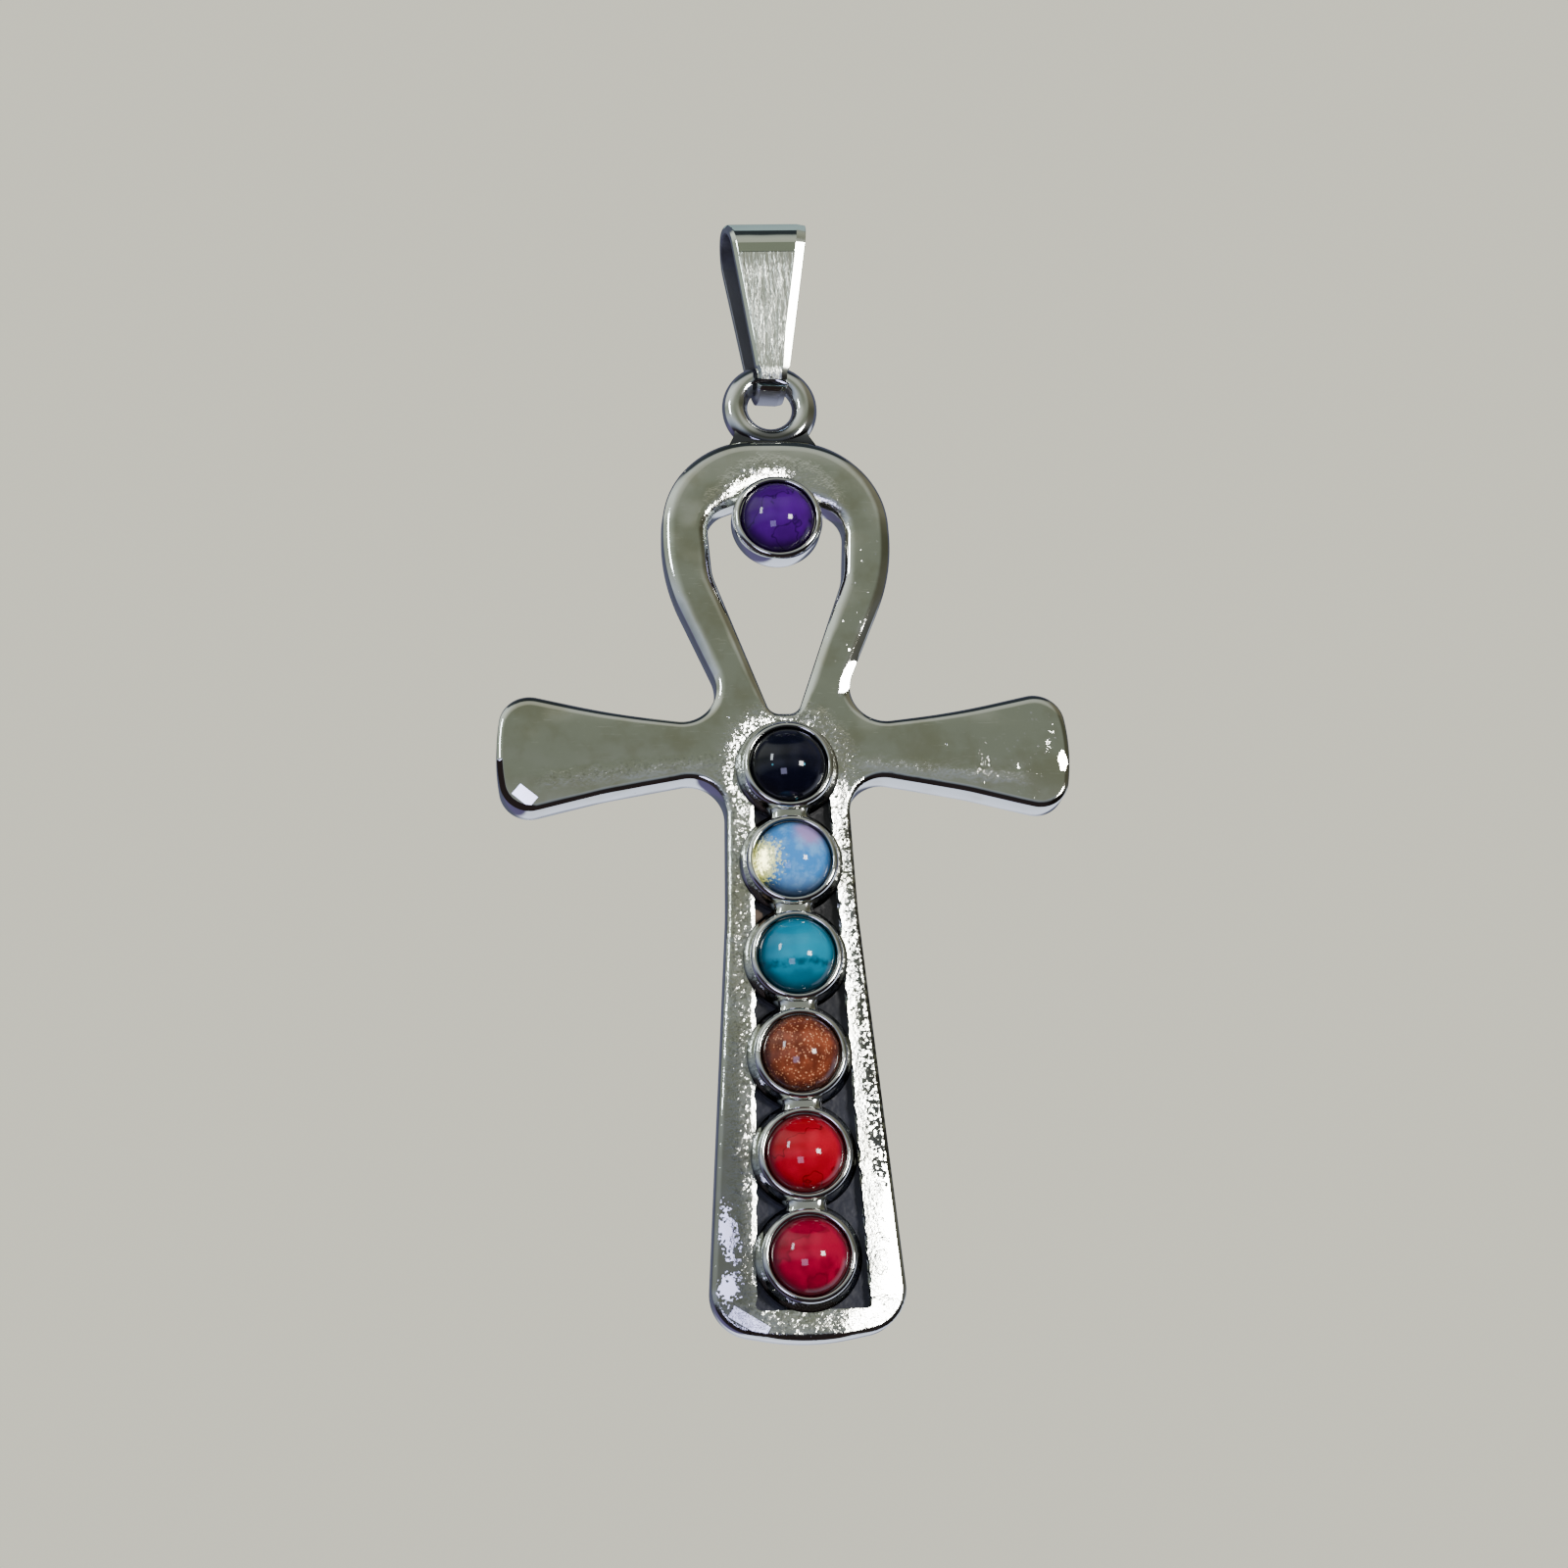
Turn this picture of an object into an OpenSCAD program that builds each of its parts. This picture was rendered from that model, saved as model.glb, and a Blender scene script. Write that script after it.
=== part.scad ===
// Ankh pendant: a cast steel ankh set with seven round cabochons, hung from a folded steel bail.
// Millimetres. +Z is up and the front faces -Y. The origin is the inside of the bail's top,
// where a chain bears. The cast plate's middle plane is at Y = 0.

/* [Loop] */
// Height of the loop, from the middle of the arms to its top
loop_h = 17; // [15:0.1:20]
// Width over the loop
loop_w = 11.4; // [10.6:0.1:13]
// Height of the loop's opening above the middle of the arms, at its foot
hole_foot = 2.05; // [1.9:0.05:2.6]
// Height of the loop's opening, at its top
hole_top = 14.15; // [13.9:0.05:14.5]
// Width of the loop's opening
hole_w = 7; // [6.9:0.1:7.3]

/* [Arms and stem] */
// Width over the two arms
arm_span = 28.4; // [25:0.1:33]
// Height of an arm where it flares at its end
arm_end_h = 5.85; // [5:0.05:7]
// Height of an arm at its waist
arm_waist_h = 2.9; // [2.6:0.1:3.4]
// Length of the stem below the middle of the arms
stem_l = 29; // [28.9:0.1:33]
// Width of the stem at its waist
stem_waist_w = 6.2; // [6:0.1:6.8]
// Width of the stem at its foot
stem_foot_w = 8.9; // [8.5:0.1:10.5]

/* [Cast plate] */
// Thickness of the plate
plate_t = 1.8; // [1.5:0.1:2.4]
// Radius of the polished edges, front and back
edge_r = 0.35; // [0.2:0.05:0.5]
// Depth of the channel behind the stones
channel_d = 0.75; // [0.6:0.05:0.95]
// Width of the channel at its top
channel_top_w = 3.8; // [3.5:0.1:4]
// Width of the channel at its foot
channel_foot_w = 5.5; // [4.9:0.1:5.7]
// How far the channel sits to the right of the stem's middle
channel_shift = 0.2; // [0:0.05:0.3]
// How far the channel reaches below the last stone's middle
channel_reach = 2.42; // [2.36:0.02:2.6]
// Thickness of the dark enamel on the channel's floor
enamel_t = 0.2; // [0.15:0.05:0.3]

/* [Stones] */
// Diameter of a cabochon
stone_d = 4; // [3.8:0.05:4.1]
// Height of a dome above its bezel's rim
dome_h = 1.05; // [0.8:0.05:1.3]
// Depth of a stone below the rim
stone_seat = 0.8; // [0.6:0.05:0.85]
// Distance between the stones in the row
stone_pitch = 4.85; // [4.8:0.01:4.9]
// Drop from the middle of the arms to the first stone of the row
row_drop = 0.93; // [0.85:0.01:1]
// Height of the loop's stone above the middle of the arms
loop_stone_z = 12.3; // [12.2:0.05:12.4]
// Wall of a bezel
bezel_wall = 0.3; // [0.25:0.01:0.32]
// Height of a bezel's rim above the plate
rim_h = 0.9; // [0.7:0.05:1.1]
// Depth of the loop stone's free cup, behind its rim
cup_d = 1.6; // [1.45:0.05:1.9]
// Width of the cast bridge that joins two bezels
bridge_w = 0.9; // [0.6:0.1:1.4]

/* [Eye] */
// Radius of the eye, to the middle of its wire
eye_r = 1.78; // [1.7:0.02:2]
// Thickness of the eye's round wire
eye_wire = 1.2; // [1:0.05:1.24]
// Height of the eye's centre above the loop
eye_stand = 2.12; // [2:0.02:2.3]
// Width of the eye's neck where it meets the loop
neck_w = 3.8; // [3.4:0.1:4.2]

/* [Bail] */
// Clear height inside the bail, from the chain's seat to the eye's seat
bail_inner_h = 8.94; // [8.5:0.02:11]
// Thickness of the folded strip
strip_t = 0.5; // [0.4:0.05:0.6]
// Radius inside the bail's top fold
top_r = 1.35; // [1.2:0.05:1.7]
// Radius inside the bail's lower fold
low_r = 1; // [0.96:0.02:1.1]
// Width of the strip at the top fold
strip_top_w = 4.4; // [3.8:0.1:5]
// Width of the straps at their lower ends
strip_end_w = 1.8; // [1.5:0.1:2.2]
// Width of the tongue that passes through the eye
tongue_w = 1.4; // [1.2:0.05:1.44]
// Turn of the bail about the upright, as it hangs on the eye
bail_turn = 5; // [0:1:10]

/* [Fit] */
// Gap round a stone in its bezel, and round the enamel
gap = 0.03; // [0.02:0.01:0.05]

/* [Hidden] */
$fn = 48;

steel = [0.72, 0.74, 0.72];
enamel = [0.17, 0.18, 0.24];

// Heights in the frame, from the chain's seat down
pivot_z = low_r - bail_inner_h;
eye_z = pivot_z - eye_r;
arms_z = eye_z - eye_stand - loop_h;

// Planes of the plate's front face, the bezels' rims and the channel's floor
front_y = -plate_t / 2;
rim_y = front_y - rim_h;
floor_y = front_y + channel_d;

// A bezel's bore and outside, and the peg on which it stands through the enamel
bore_r = stone_d / 2 + gap;
bezel_r = bore_r + bezel_wall;
peg_r = 0.7 * bezel_r;

// The row's stones, counted from the arms down, and the metal's overlap where it is cast together
ROW = [0:5];
row_steps = 5;
overlap = 0.1;

// The channel starts behind the first stone and ends below the last one
channel_top = -row_drop - 0.3 * stone_d;
channel_foot = -row_drop - row_steps * stone_pitch - channel_reach;
channel_corner_r = 0.3;

// Largest angle, in degrees, that one facet of an arc with a radius of 1 turns through
facet_turn = 16;

// Halves of the named widths
half_loop = loop_w / 2;
half_span = arm_span / 2;
half_waist = arm_waist_h / 2;
half_stem = stem_waist_w / 2;
half_foot = stem_foot_w / 2;
half_hole = hole_w / 2;

// The right half of the outline, clockwise from the top: corners as shares of the named sizes
// from the middle of the arms, and the radius that rounds each corner
OUTLINE = [
    [0.49 * half_loop, loop_h, 5.9],
    [0.985 * half_loop, 0.84 * loop_h, 3.95],
    [1.015 * half_loop, 0.568 * loop_h, 3.9],
    [0.71 * half_stem, 0.65 * half_waist, 1.6],
    [0.63 * half_span, 1.45 * half_waist, 16],
    [0.973 * half_span, 0.57 * arm_end_h, 1.8],
    [1.01 * half_span, 0, 25],
    [0.973 * half_span, -0.57 * arm_end_h, 1.8],
    [0.63 * half_span, -1.45 * half_waist, 16],
    [0.97 * half_stem, -0.68 * half_waist, 1.8],
    [1.04 * half_stem, -0.285 * stem_l, 29],
    [1.07 * half_foot, -0.978 * stem_l, 2.1],
    [0, -1.008 * stem_l, 11]];

// The right half of the loop's opening, in the same way
hole_h = hole_top - hole_foot;
OPENING = [
    [0.455 * half_hole, hole_top, 2.5],
    [1.045 * half_hole, hole_top - 0.06 * hole_h, 2.75],
    [0.96 * half_hole, hole_foot + 0.62 * hole_h, 2.75],
    [0.195 * half_hole, hole_foot, 0.65]];

// The polished edge, as shares of its radius in from the outline and in from the face
EDGE = [[0, 1], [0.08, 0.6], [0.3, 0.29], [0.6, 0.08], [1, 0]];

function unit(v) = v / norm(v);

// An arc of radius r in the corner b between a and c, as rows of [point, outward direction]
function corner(a, b, c, r) =
    let (u = unit(a - b), v = unit(c - b), half = acos(u * v) / 2,
         reach = min(r / tan(half), 0.49 * norm(a - b), 0.49 * norm(c - b)),
         arc_r = reach * tan(half),
         centre = b + unit(u + v) * arc_r / sin(half),
         from = b + u * reach - centre,
         start = atan2(from[1], from[0]),
         side = sign(cross(u, v)),
         turn = 180 - 2 * half,
         steps = max(2, ceil(turn * sqrt(arc_r) / facet_turn)))
    [for (i = [0:steps])
        let (t = start - side * turn * i / steps, ray = [cos(t), sin(t)])
        [centre + arc_r * ray, side * ray]];

// A closed outline with round corners, from corner rows that run clockwise
function rounded(rows) =
    let (n = len(rows), at = [for (row = rows) [row[0], row[1]]])
    [for (i = [0:n - 1]) each corner(at[(i + n - 1) % n], at[i], at[(i + 1) % n], rows[i][2])];

// Both halves of an outline, from the rows of its right half
function both_halves(rows) =
    concat(rows, [for (i = [len(rows) - 1:-1:0]) if (rows[i][0] > 0) [-rows[i][0], rows[i][1], rows[i][2]]]);

// The points of an outline, moved outwards by a distance
function moved(outline, by) = [for (p = outline) p[0] + by * p[1]];

outer = rounded(both_halves(OUTLINE));
opening = rounded(both_halves(OPENING));

// Stands a drawing in X and Z up, and fills it from y0 back to y1
module upright(y0, y1) {
    translate([0, y1, 0]) rotate([90, 0, 0]) linear_extrude(y1 - y0) children();
}

// Turns a drawing's axis into the plate, from the rim's plane at a height over the arms
module into_plate(z) {
    translate([0, rim_y, z]) rotate([-90, 0, 0]) children();
}

// The rim of a plate that lies flat, along an outline, with both polished edges. The metal lies
// inside the outer outline (inwards = -1) and outside the opening's (inwards = 1).
module polished_rim(outline, inwards) {
    half_t = plate_t / 2;
    front = [for (e = EDGE) [inwards * e[0] * edge_r, half_t - e[1] * edge_r]];
    section = concat(front, [for (i = [len(front) - 1:-1:0]) [front[i][0], -front[i][1]]]);
    n = len(outline);
    m = len(section);
    points = [for (p = outline) for (s = section) let (q = p[0] + s[0] * p[1]) [q[0], q[1], s[1]]];
    polyhedron(points, [for (i = [0:n - 1]) for (j = [0:m - 1])
        let (a = i * m + j, b = i * m + (j + 1) % m,
             c = ((i + 1) % n) * m + (j + 1) % m, d = ((i + 1) % n) * m + j)
        each inwards > 0 ? [[a, b, c], [a, c, d]] : [[a, c, b], [a, d, c]]]);
}

// The cast plate, stood up: a flat core between two polished rims
module plate() {
    rotate([90, 0, 0]) {
        polished_rim(outer, -1);
        polished_rim(opening, 1);
        linear_extrude(plate_t, center = true) difference() {
            polygon(moved(outer, -edge_r));
            polygon(moved(opening, edge_r));
        }
    }
}

// The channel's outline, made smaller by a margin
module channel_outline(margin) {
    top_w = channel_top_w / 2 - margin;
    foot_w = channel_foot_w / 2 - margin;
    rows = [[top_w, channel_top - margin, channel_corner_r],
            [foot_w, channel_foot + margin, channel_corner_r]];
    translate([channel_shift, 0]) polygon(moved(rounded(both_halves(rows)), 0));
}

// A bezel of the row: a cup on a peg that stands on the channel's floor
module row_bezel() {
    cylinder(h = rim_h + channel_d - enamel_t - gap, r = bezel_r);
    cylinder(h = rim_h + channel_d + overlap, r = peg_r);
}

// The loop's bezel: a cup that stands free in the opening, with a round foot
module loop_bezel() {
    cylinder(h = cup_d - edge_r, r = bezel_r);
    translate([0, 0, cup_d - edge_r]) cylinder(h = edge_r, r1 = bezel_r, r2 = bezel_r - edge_r);
}

// The cast bridges join the bezels of the row, clear of the enamel below them
module bridges() {
    half_w = bridge_w / 2;
    for (i = [0:row_steps - 1]) {
        middle = -row_drop - (i + 0.5) * stone_pitch;
        half_h = stone_pitch / 2 - bezel_r + overlap;
        upright(rim_y + rim_h / 3, floor_y - enamel_t - gap)
            translate([-half_w, middle - half_h]) square([bridge_w, 2 * half_h]);
    }
}

// The eye stands on the loop, on a neck as wide as the photo shows
module eye() {
    outer_r = eye_r + eye_wire / 2;
    neck_top = eye_r - 0.4 * eye_wire;
    top_w = 2 * sqrt(outer_r * outer_r - neck_top * neck_top);
    neck_y = 0.42 * eye_wire;
    rotate([90, 0, 0]) rotate_extrude() translate([eye_r, 0]) circle(d = eye_wire);
    upright(-neck_y, neck_y) polygon([[-top_w / 2, -neck_top], [top_w / 2, -neck_top],
        [neck_w / 2, -eye_stand - plate_t / 3], [-neck_w / 2, -eye_stand - plate_t / 3]]);
}

// A bezel's bore, which the stone fills
module bezel_bore() {
    translate([0, 0, -overlap]) cylinder(h = stone_seat + gap + overlap, r = bore_r);
}

module ankh_body() {
    color(steel) {
        translate([0, 0, arms_z]) difference() {
            union() {
                difference() {
                    plate();
                    upright(front_y - overlap, floor_y) channel_outline(0);
                }
                for (i = ROW) into_plate(-row_drop - i * stone_pitch) row_bezel();
                bridges();
                into_plate(loop_stone_z) loop_bezel();
            }
            for (i = ROW) into_plate(-row_drop - i * stone_pitch) bezel_bore();
            into_plate(loop_stone_z) bezel_bore();
        }
        translate([0, 0, eye_z]) eye();
    }
}

// The enamel covers the channel's floor, round the bezels' pegs
module channel_enamel() {
    color(enamel) translate([0, 0, arms_z]) difference() {
        upright(floor_y - enamel_t, floor_y - gap / 2) channel_outline(gap);
        for (i = ROW) into_plate(-row_drop - i * stone_pitch) cylinder(h = 2 * plate_t, r = peg_r + gap);
    }
}

// A round cabochon: a straight girdle in the bezel and a dome above it
module cabochon(z) {
    r = stone_d / 2;
    girdle = 0.15 * stone_seat;
    cap_h = dome_h + girdle;
    ball_r = (r * r + cap_h * cap_h) / (2 * cap_h);
    translate([0, 0, arms_z]) into_plate(z) intersection() {
        translate([0, 0, -dome_h]) cylinder(h = dome_h + stone_seat, r = r);
        union() {
            translate([0, 0, ball_r - dome_h]) sphere(r = ball_r);
            translate([0, 0, girdle]) cylinder(h = stone_seat - girdle, r = r);
        }
    }
}

module row_stone(i) { cabochon(-row_drop - i * stone_pitch); }

module stone_purple() { color([0.24, 0.10, 0.60]) cabochon(loop_stone_z); }
module stone_black() { color([0.09, 0.10, 0.17]) row_stone(0); }
module stone_opal() { color([0.55, 0.70, 0.88]) row_stone(1); }
module stone_turquoise() { color([0.0, 0.56, 0.66]) row_stone(2); }
module stone_goldstone() { color([0.60, 0.26, 0.14]) row_stone(3); }
module stone_red() { color([0.86, 0.08, 0.08]) row_stone(4); }
module stone_crimson() { color([0.70, 0.02, 0.12]) row_stone(5); }

// Lean of the straps, which run straight from one fold to the other
fold_drop = -top_r - pivot_z;
lean = asin((top_r - low_r) / fold_drop);
strap_l = fold_drop * cos(lean);

// The space between the two folds, with a margin outside the clear space
module bail_core(margin) {
    upper = top_r + margin;
    lower = low_r + margin;
    wide = 2 * strip_top_w + margin;
    rotate([90, 0, 90]) {
        translate([0, -top_r]) cylinder(h = wide, r = upper, center = true);
        translate([0, pivot_z]) cylinder(h = wide, r = lower, center = true);
        linear_extrude(wide, center = true) polygon([
            [-upper * cos(lean), upper * sin(lean) - top_r], [upper * cos(lean), upper * sin(lean) - top_r],
            [lower * cos(lean), lower * sin(lean) + pivot_z],
            [-lower * cos(lean), lower * sin(lean) + pivot_z]]);
    }
}

// The bail's front view. The strip tapers evenly along its length, round the top fold too.
module bail_front() {
    middle_r = top_r + strip_t / 2;
    fold_l = middle_r * 90 * PI / 180;
    top_turns = [for (t = [0:15:90]) t];
    straps = [for (t = top_turns)
        let (share = (strap_l + fold_l * t / 90) / (strap_l + fold_l))
        [(strip_end_w + (strip_top_w - strip_end_w) * share) / 2, middle_r * sin(t) - top_r]];
    side = concat(
        [[tongue_w / 2, pivot_z - low_r - 2 * strip_t], [tongue_w / 2, pivot_z - low_r / 2],
         [strip_end_w / 2, pivot_z]],
        straps, [[strip_top_w / 2, 2 * strip_t]]);
    polygon(concat(side, [for (i = [len(side) - 1:-1:0]) [-side[i][0], side[i][1]]]));
}

module bail() {
    deep = 4 * (top_r + strip_t);
    color(steel) rotate([0, 0, bail_turn]) difference() {
        intersection() {
            bail_core(strip_t);
            upright(-deep / 2, deep / 2) bail_front();
        }
        bail_core(0);
    }
}

bail();
ankh_body();
channel_enamel();
stone_purple();
stone_black();
stone_opal();
stone_turquoise();
stone_goldstone();
stone_red();
stone_crimson();
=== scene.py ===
import math

import bmesh
import bpy
from mathutils import Matrix, Vector, noise


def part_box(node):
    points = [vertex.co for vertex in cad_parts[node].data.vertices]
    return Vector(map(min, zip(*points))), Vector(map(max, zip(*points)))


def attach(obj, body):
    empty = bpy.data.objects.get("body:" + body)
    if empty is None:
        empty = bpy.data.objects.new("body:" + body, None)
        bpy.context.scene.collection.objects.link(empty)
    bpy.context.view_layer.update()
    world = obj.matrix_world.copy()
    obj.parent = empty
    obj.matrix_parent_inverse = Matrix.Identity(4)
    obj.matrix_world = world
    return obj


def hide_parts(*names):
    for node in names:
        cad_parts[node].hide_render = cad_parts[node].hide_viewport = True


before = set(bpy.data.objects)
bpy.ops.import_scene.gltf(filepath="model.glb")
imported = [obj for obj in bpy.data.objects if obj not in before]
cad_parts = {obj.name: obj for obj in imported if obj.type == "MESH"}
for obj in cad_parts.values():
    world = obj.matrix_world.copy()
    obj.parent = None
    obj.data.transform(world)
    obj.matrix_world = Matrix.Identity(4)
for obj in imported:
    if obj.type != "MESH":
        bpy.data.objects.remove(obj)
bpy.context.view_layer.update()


# Cast plate: the ankh itself, one casting of stainless steel with a teardrop opening and a sunk
# channel for the stones. The polishing wheel rolls its edges over softly, and leaves the grain of
# the casting where the stones' bezels keep the wheel away. Lengths are in millimetres.
MM = 0.001
PLATE_T = 1.8
FRONT_Y = -PLATE_T / 2
ROW_DROP = 0.93
STONE_PITCH = 4.85
ROW_STEPS = 5
LOOP_STONE_Z = 12.3
BEZEL_R = 2.33
RIM_Y = FRONT_Y - 0.9
CHANNEL_D = 0.75
FLOOR_Y = FRONT_Y + CHANNEL_D

first_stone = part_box("stone_black")
ARMS_Z = (first_stone[0].z + first_stone[1].z) / 2 / MM + ROW_DROP
ROW_Z = [-ROW_DROP - i * STONE_PITCH for i in range(ROW_STEPS + 1)]

LOOP_H = 17.0
HALF_LOOP = 5.83
HALF_SPAN = 14.35
HALF_WAIST = 1.45
ARM_END_H = 5.85
HALF_STEM = 3.1
HALF_FOOT = 4.45
STEM_L = 29.0
HOLE_FOOT = 2.05
HOLE_TOP = 14.15
HALF_HOLE = 3.5
HOLE_H = HOLE_TOP - HOLE_FOOT

# Corners of the outline's right half and of the opening's, clockwise from the top, from the middle
# of the arms, with the radius that rounds each
OUTLINE = [
    (0.49 * HALF_LOOP, LOOP_H, 5.9),
    (0.985 * HALF_LOOP, 0.84 * LOOP_H, 5.5),
    (1.015 * HALF_LOOP, 0.568 * LOOP_H, 10),
    (0.74 * HALF_STEM, 0.87 * HALF_WAIST, 1.9),
    (0.60 * HALF_SPAN, 1.43 * HALF_WAIST, 40),
    (0.973 * HALF_SPAN, 0.57 * ARM_END_H, 1.8),
    (1.01 * HALF_SPAN, 0, 25),
    (0.973 * HALF_SPAN, -0.57 * ARM_END_H, 1.8),
    (0.63 * HALF_SPAN, -1.45 * HALF_WAIST, 16),
    (0.97 * HALF_STEM, -0.68 * HALF_WAIST, 1.8),
    (1.04 * HALF_STEM, -0.285 * STEM_L, 29),
    (1.07 * HALF_FOOT, -0.978 * STEM_L, 2.1),
    (0, -1.008 * STEM_L, 11),
]
OPENING = [
    (0.455 * HALF_HOLE, HOLE_TOP - 0.55, 2.5),
    (1.02 * HALF_HOLE, HOLE_TOP - 0.11 * HOLE_H, 2.0),
    (0.96 * HALF_HOLE, HOLE_FOOT + 0.62 * HOLE_H, 2.75),
    (0.195 * HALF_HOLE, HOLE_FOOT, 0.65),
]

# The rolled edge, from the side wall inwards: how far each step goes in, and how far it rises
TIGHT_EDGE = 0.42
WIDE_EDGE = 0.85
ROLLED_EDGE = [(0.02, 0.05), (0.05, 0.07), (0.10, 0.09), (0.13, 0.079), (0.12, 0.055),
               (0.10, 0.03), (0.11, 0.022), (0.11, 0.013), (0.08, 0.004)]

# The wheel rolls the loop's edge over further than the arms' and the stem's, from this height up
WIDE_FROM = 1.5
WIDE_OVER = 3

# The channel's edges, as half widths about its own middle, and how uneven its sides are: a seed,
# how fine and how deep
CHANNEL_X = 0.2
CHANNEL_TOP = -ROW_DROP - 1.2
CHANNEL_FOOT = ROW_Z[-1] - 2.42
CHANNEL_TOP_W = 1.9
CHANNEL_FOOT_W = 2.75
CHANNEL_CORNER_R = 0.3
UNEVEN = [(0, 1.7, 0.10), (5, 5.5, 0.05)]
CUTTER_OVER = 0.5
SMOOTH_ANGLE = 35


def both_halves(rows):
    return rows + [(-x, z, r) for x, z, r in reversed(rows) if x > 0]


def verts_of(geom):
    return [g for g in geom if isinstance(g, bmesh.types.BMVert)]


def rounded_outline(bm, rows, y):
    """Draws a closed outline: one point for each corner, spun about the corner's own centre."""
    at = [Vector((x, y, z)) for x, z, _ in rows]
    arcs = []
    for i, (_, _, radius) in enumerate(rows):
        before = at[i - 1] - at[i]
        after = at[(i + 1) % len(at)] - at[i]
        half = before.angle(after) / 2
        reach = min(radius / math.tan(half), 0.49 * before.length, 0.49 * after.length)
        arc_r = reach * math.tan(half)
        towards = (before.normalized() + after.normalized()).normalized()
        centre = at[i] + towards * arc_r / math.sin(half)
        start = at[i] + before.normalized() * reach
        end = at[i] + after.normalized() * reach
        axis = (start - centre).cross(end - centre).normalized()
        turn = math.pi - 2 * half
        steps = max(4, math.ceil(math.degrees(turn) * math.sqrt(arc_r) / 5))
        first = bm.verts.new(start)
        spun = bmesh.ops.spin(bm, geom=[first], cent=centre, axis=axis, dvec=(0, 0, 0), angle=turn,
                              steps=steps, space=Matrix(), use_merge=False)
        arcs.append((first, verts_of(spun["geom_last"])[0]))
    for i, (first, _) in enumerate(arcs):
        bm.edges.new((arcs[i - 1][1], first))


def new_piece(bm, name, body, z=0.0, smooth_angle=SMOOTH_ANGLE):
    """Closes a piece's mesh, puts it at its height in the frame and lets it ride on its body."""
    bmesh.ops.remove_doubles(bm, verts=bm.verts, dist=1e-5)
    bmesh.ops.recalc_face_normals(bm, faces=bm.faces)
    bmesh.ops.transform(bm, matrix=Matrix.Scale(MM, 4) @ Matrix.Translation((0, 0, z)), verts=bm.verts)
    mesh = bpy.data.meshes.new(name)
    bm.to_mesh(mesh)
    bm.free()
    mesh.shade_smooth()
    mesh.set_sharp_from_angle(angle=math.radians(smooth_angle))
    piece = bpy.data.objects.new(name, mesh)
    bpy.context.scene.collection.objects.link(piece)
    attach(piece, body)
    return piece


bm = bmesh.new()
wall_top = FRONT_Y + sum(rise for _, rise in ROLLED_EDGE)
rounded_outline(bm, both_halves(OUTLINE), wall_top)
rounded_outline(bm, both_halves(OPENING), wall_top)
bmesh.ops.triangle_fill(bm, edges=bm.edges, use_beauty=True, use_dissolve=False, normal=(0, -1, 0))
bmesh.ops.recalc_face_normals(bm, faces=bm.faces)
if bm.faces[0].normal.y > 0:
    bmesh.ops.reverse_faces(bm, faces=bm.faces)
inner = bm.faces[:]
foot_of = {v: v.co.copy() for v in bm.verts}
for step, rise in ROLLED_EDGE:
    bmesh.ops.inset_region(bm, faces=inner, thickness=step, use_boundary=True, use_even_offset=True)
    ring = list({v for f in inner for v in f.verts})
    bmesh.ops.translate(bm, verts=ring, vec=(0, -rise, 0))
    new = [v for v in bm.verts if v not in foot_of]
    foot_of.update({v: next(foot_of[e.other_vert(v)] for e in v.link_edges if e.other_vert(v) in foot_of)
                    for v in new})
for v, foot in foot_of.items():
    up = min(1, max(0, (foot.z - WIDE_FROM) / WIDE_OVER))
    share = TIGHT_EDGE + (WIDE_EDGE - TIGHT_EDGE) * up
    v.co.x += (foot.x - v.co.x) * (1 - share)
    v.co.z += (foot.z - v.co.z) * (1 - share)
    v.co.y = FRONT_Y + (v.co.y - FRONT_Y) * share
rim = [e for e in bm.edges if e.is_boundary]
walls = bmesh.ops.extrude_edge_only(bm, edges=rim)
for v in verts_of(walls["geom"]):
    v.co.y = 0
bmesh.ops.mirror(bm, geom=bm.verts[:] + bm.edges[:] + bm.faces[:], matrix=Matrix(), merge_dist=1e-4,
                 axis="Y")
plate = new_piece(bm, "plate", "ankh", ARMS_Z)

# The channel's cutter has uneven sides, because a casting's sunk edge is never straight
bm = bmesh.new()
corners = [(CHANNEL_X - CHANNEL_TOP_W, CHANNEL_TOP), (CHANNEL_X + CHANNEL_TOP_W, CHANNEL_TOP),
           (CHANNEL_X + CHANNEL_FOOT_W, CHANNEL_FOOT), (CHANNEL_X - CHANNEL_FOOT_W, CHANNEL_FOOT)]
verts = [bm.verts.new((x, FLOOR_Y, z)) for x, z in corners]
bm.faces.new(verts)
bmesh.ops.bevel(bm, geom=verts, offset=CHANNEL_CORNER_R, affect="VERTICES", segments=4, profile=0.5,
                material=-1)
sides = [e for e in bm.edges if e.calc_length() > (CHANNEL_TOP - CHANNEL_FOOT) / 2]
bmesh.ops.subdivide_edges(bm, edges=sides, cuts=150)
for v in bm.verts:
    v.co.x += sum(noise.noise(Vector((v.co.x, seed, v.co.z * fine))) * deep for seed, fine, deep in UNEVEN)
raised = bmesh.ops.extrude_face_region(bm, geom=bm.faces[:])
bmesh.ops.translate(bm, verts=verts_of(raised["geom"]), vec=(0, -CHANNEL_D - CUTTER_OVER, 0))
cutter = new_piece(bm, "channel_cutter", "ankh", ARMS_Z)
cut = plate.modifiers.new("channel", "BOOLEAN")
cut.operation = "DIFFERENCE"
cut.solver = "EXACT"
cut.object = cutter
cut_mesh = bpy.data.meshes.new_from_object(plate.evaluated_get(bpy.context.evaluated_depsgraph_get()))
plate.modifiers.remove(cut)
bpy.data.objects.remove(cutter)
plate.data = cut_mesh
cut_mesh.name = "plate"
cut_mesh.set_sharp_from_angle(angle=math.radians(SMOOTH_ANGLE))
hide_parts("ankh_body")


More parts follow.
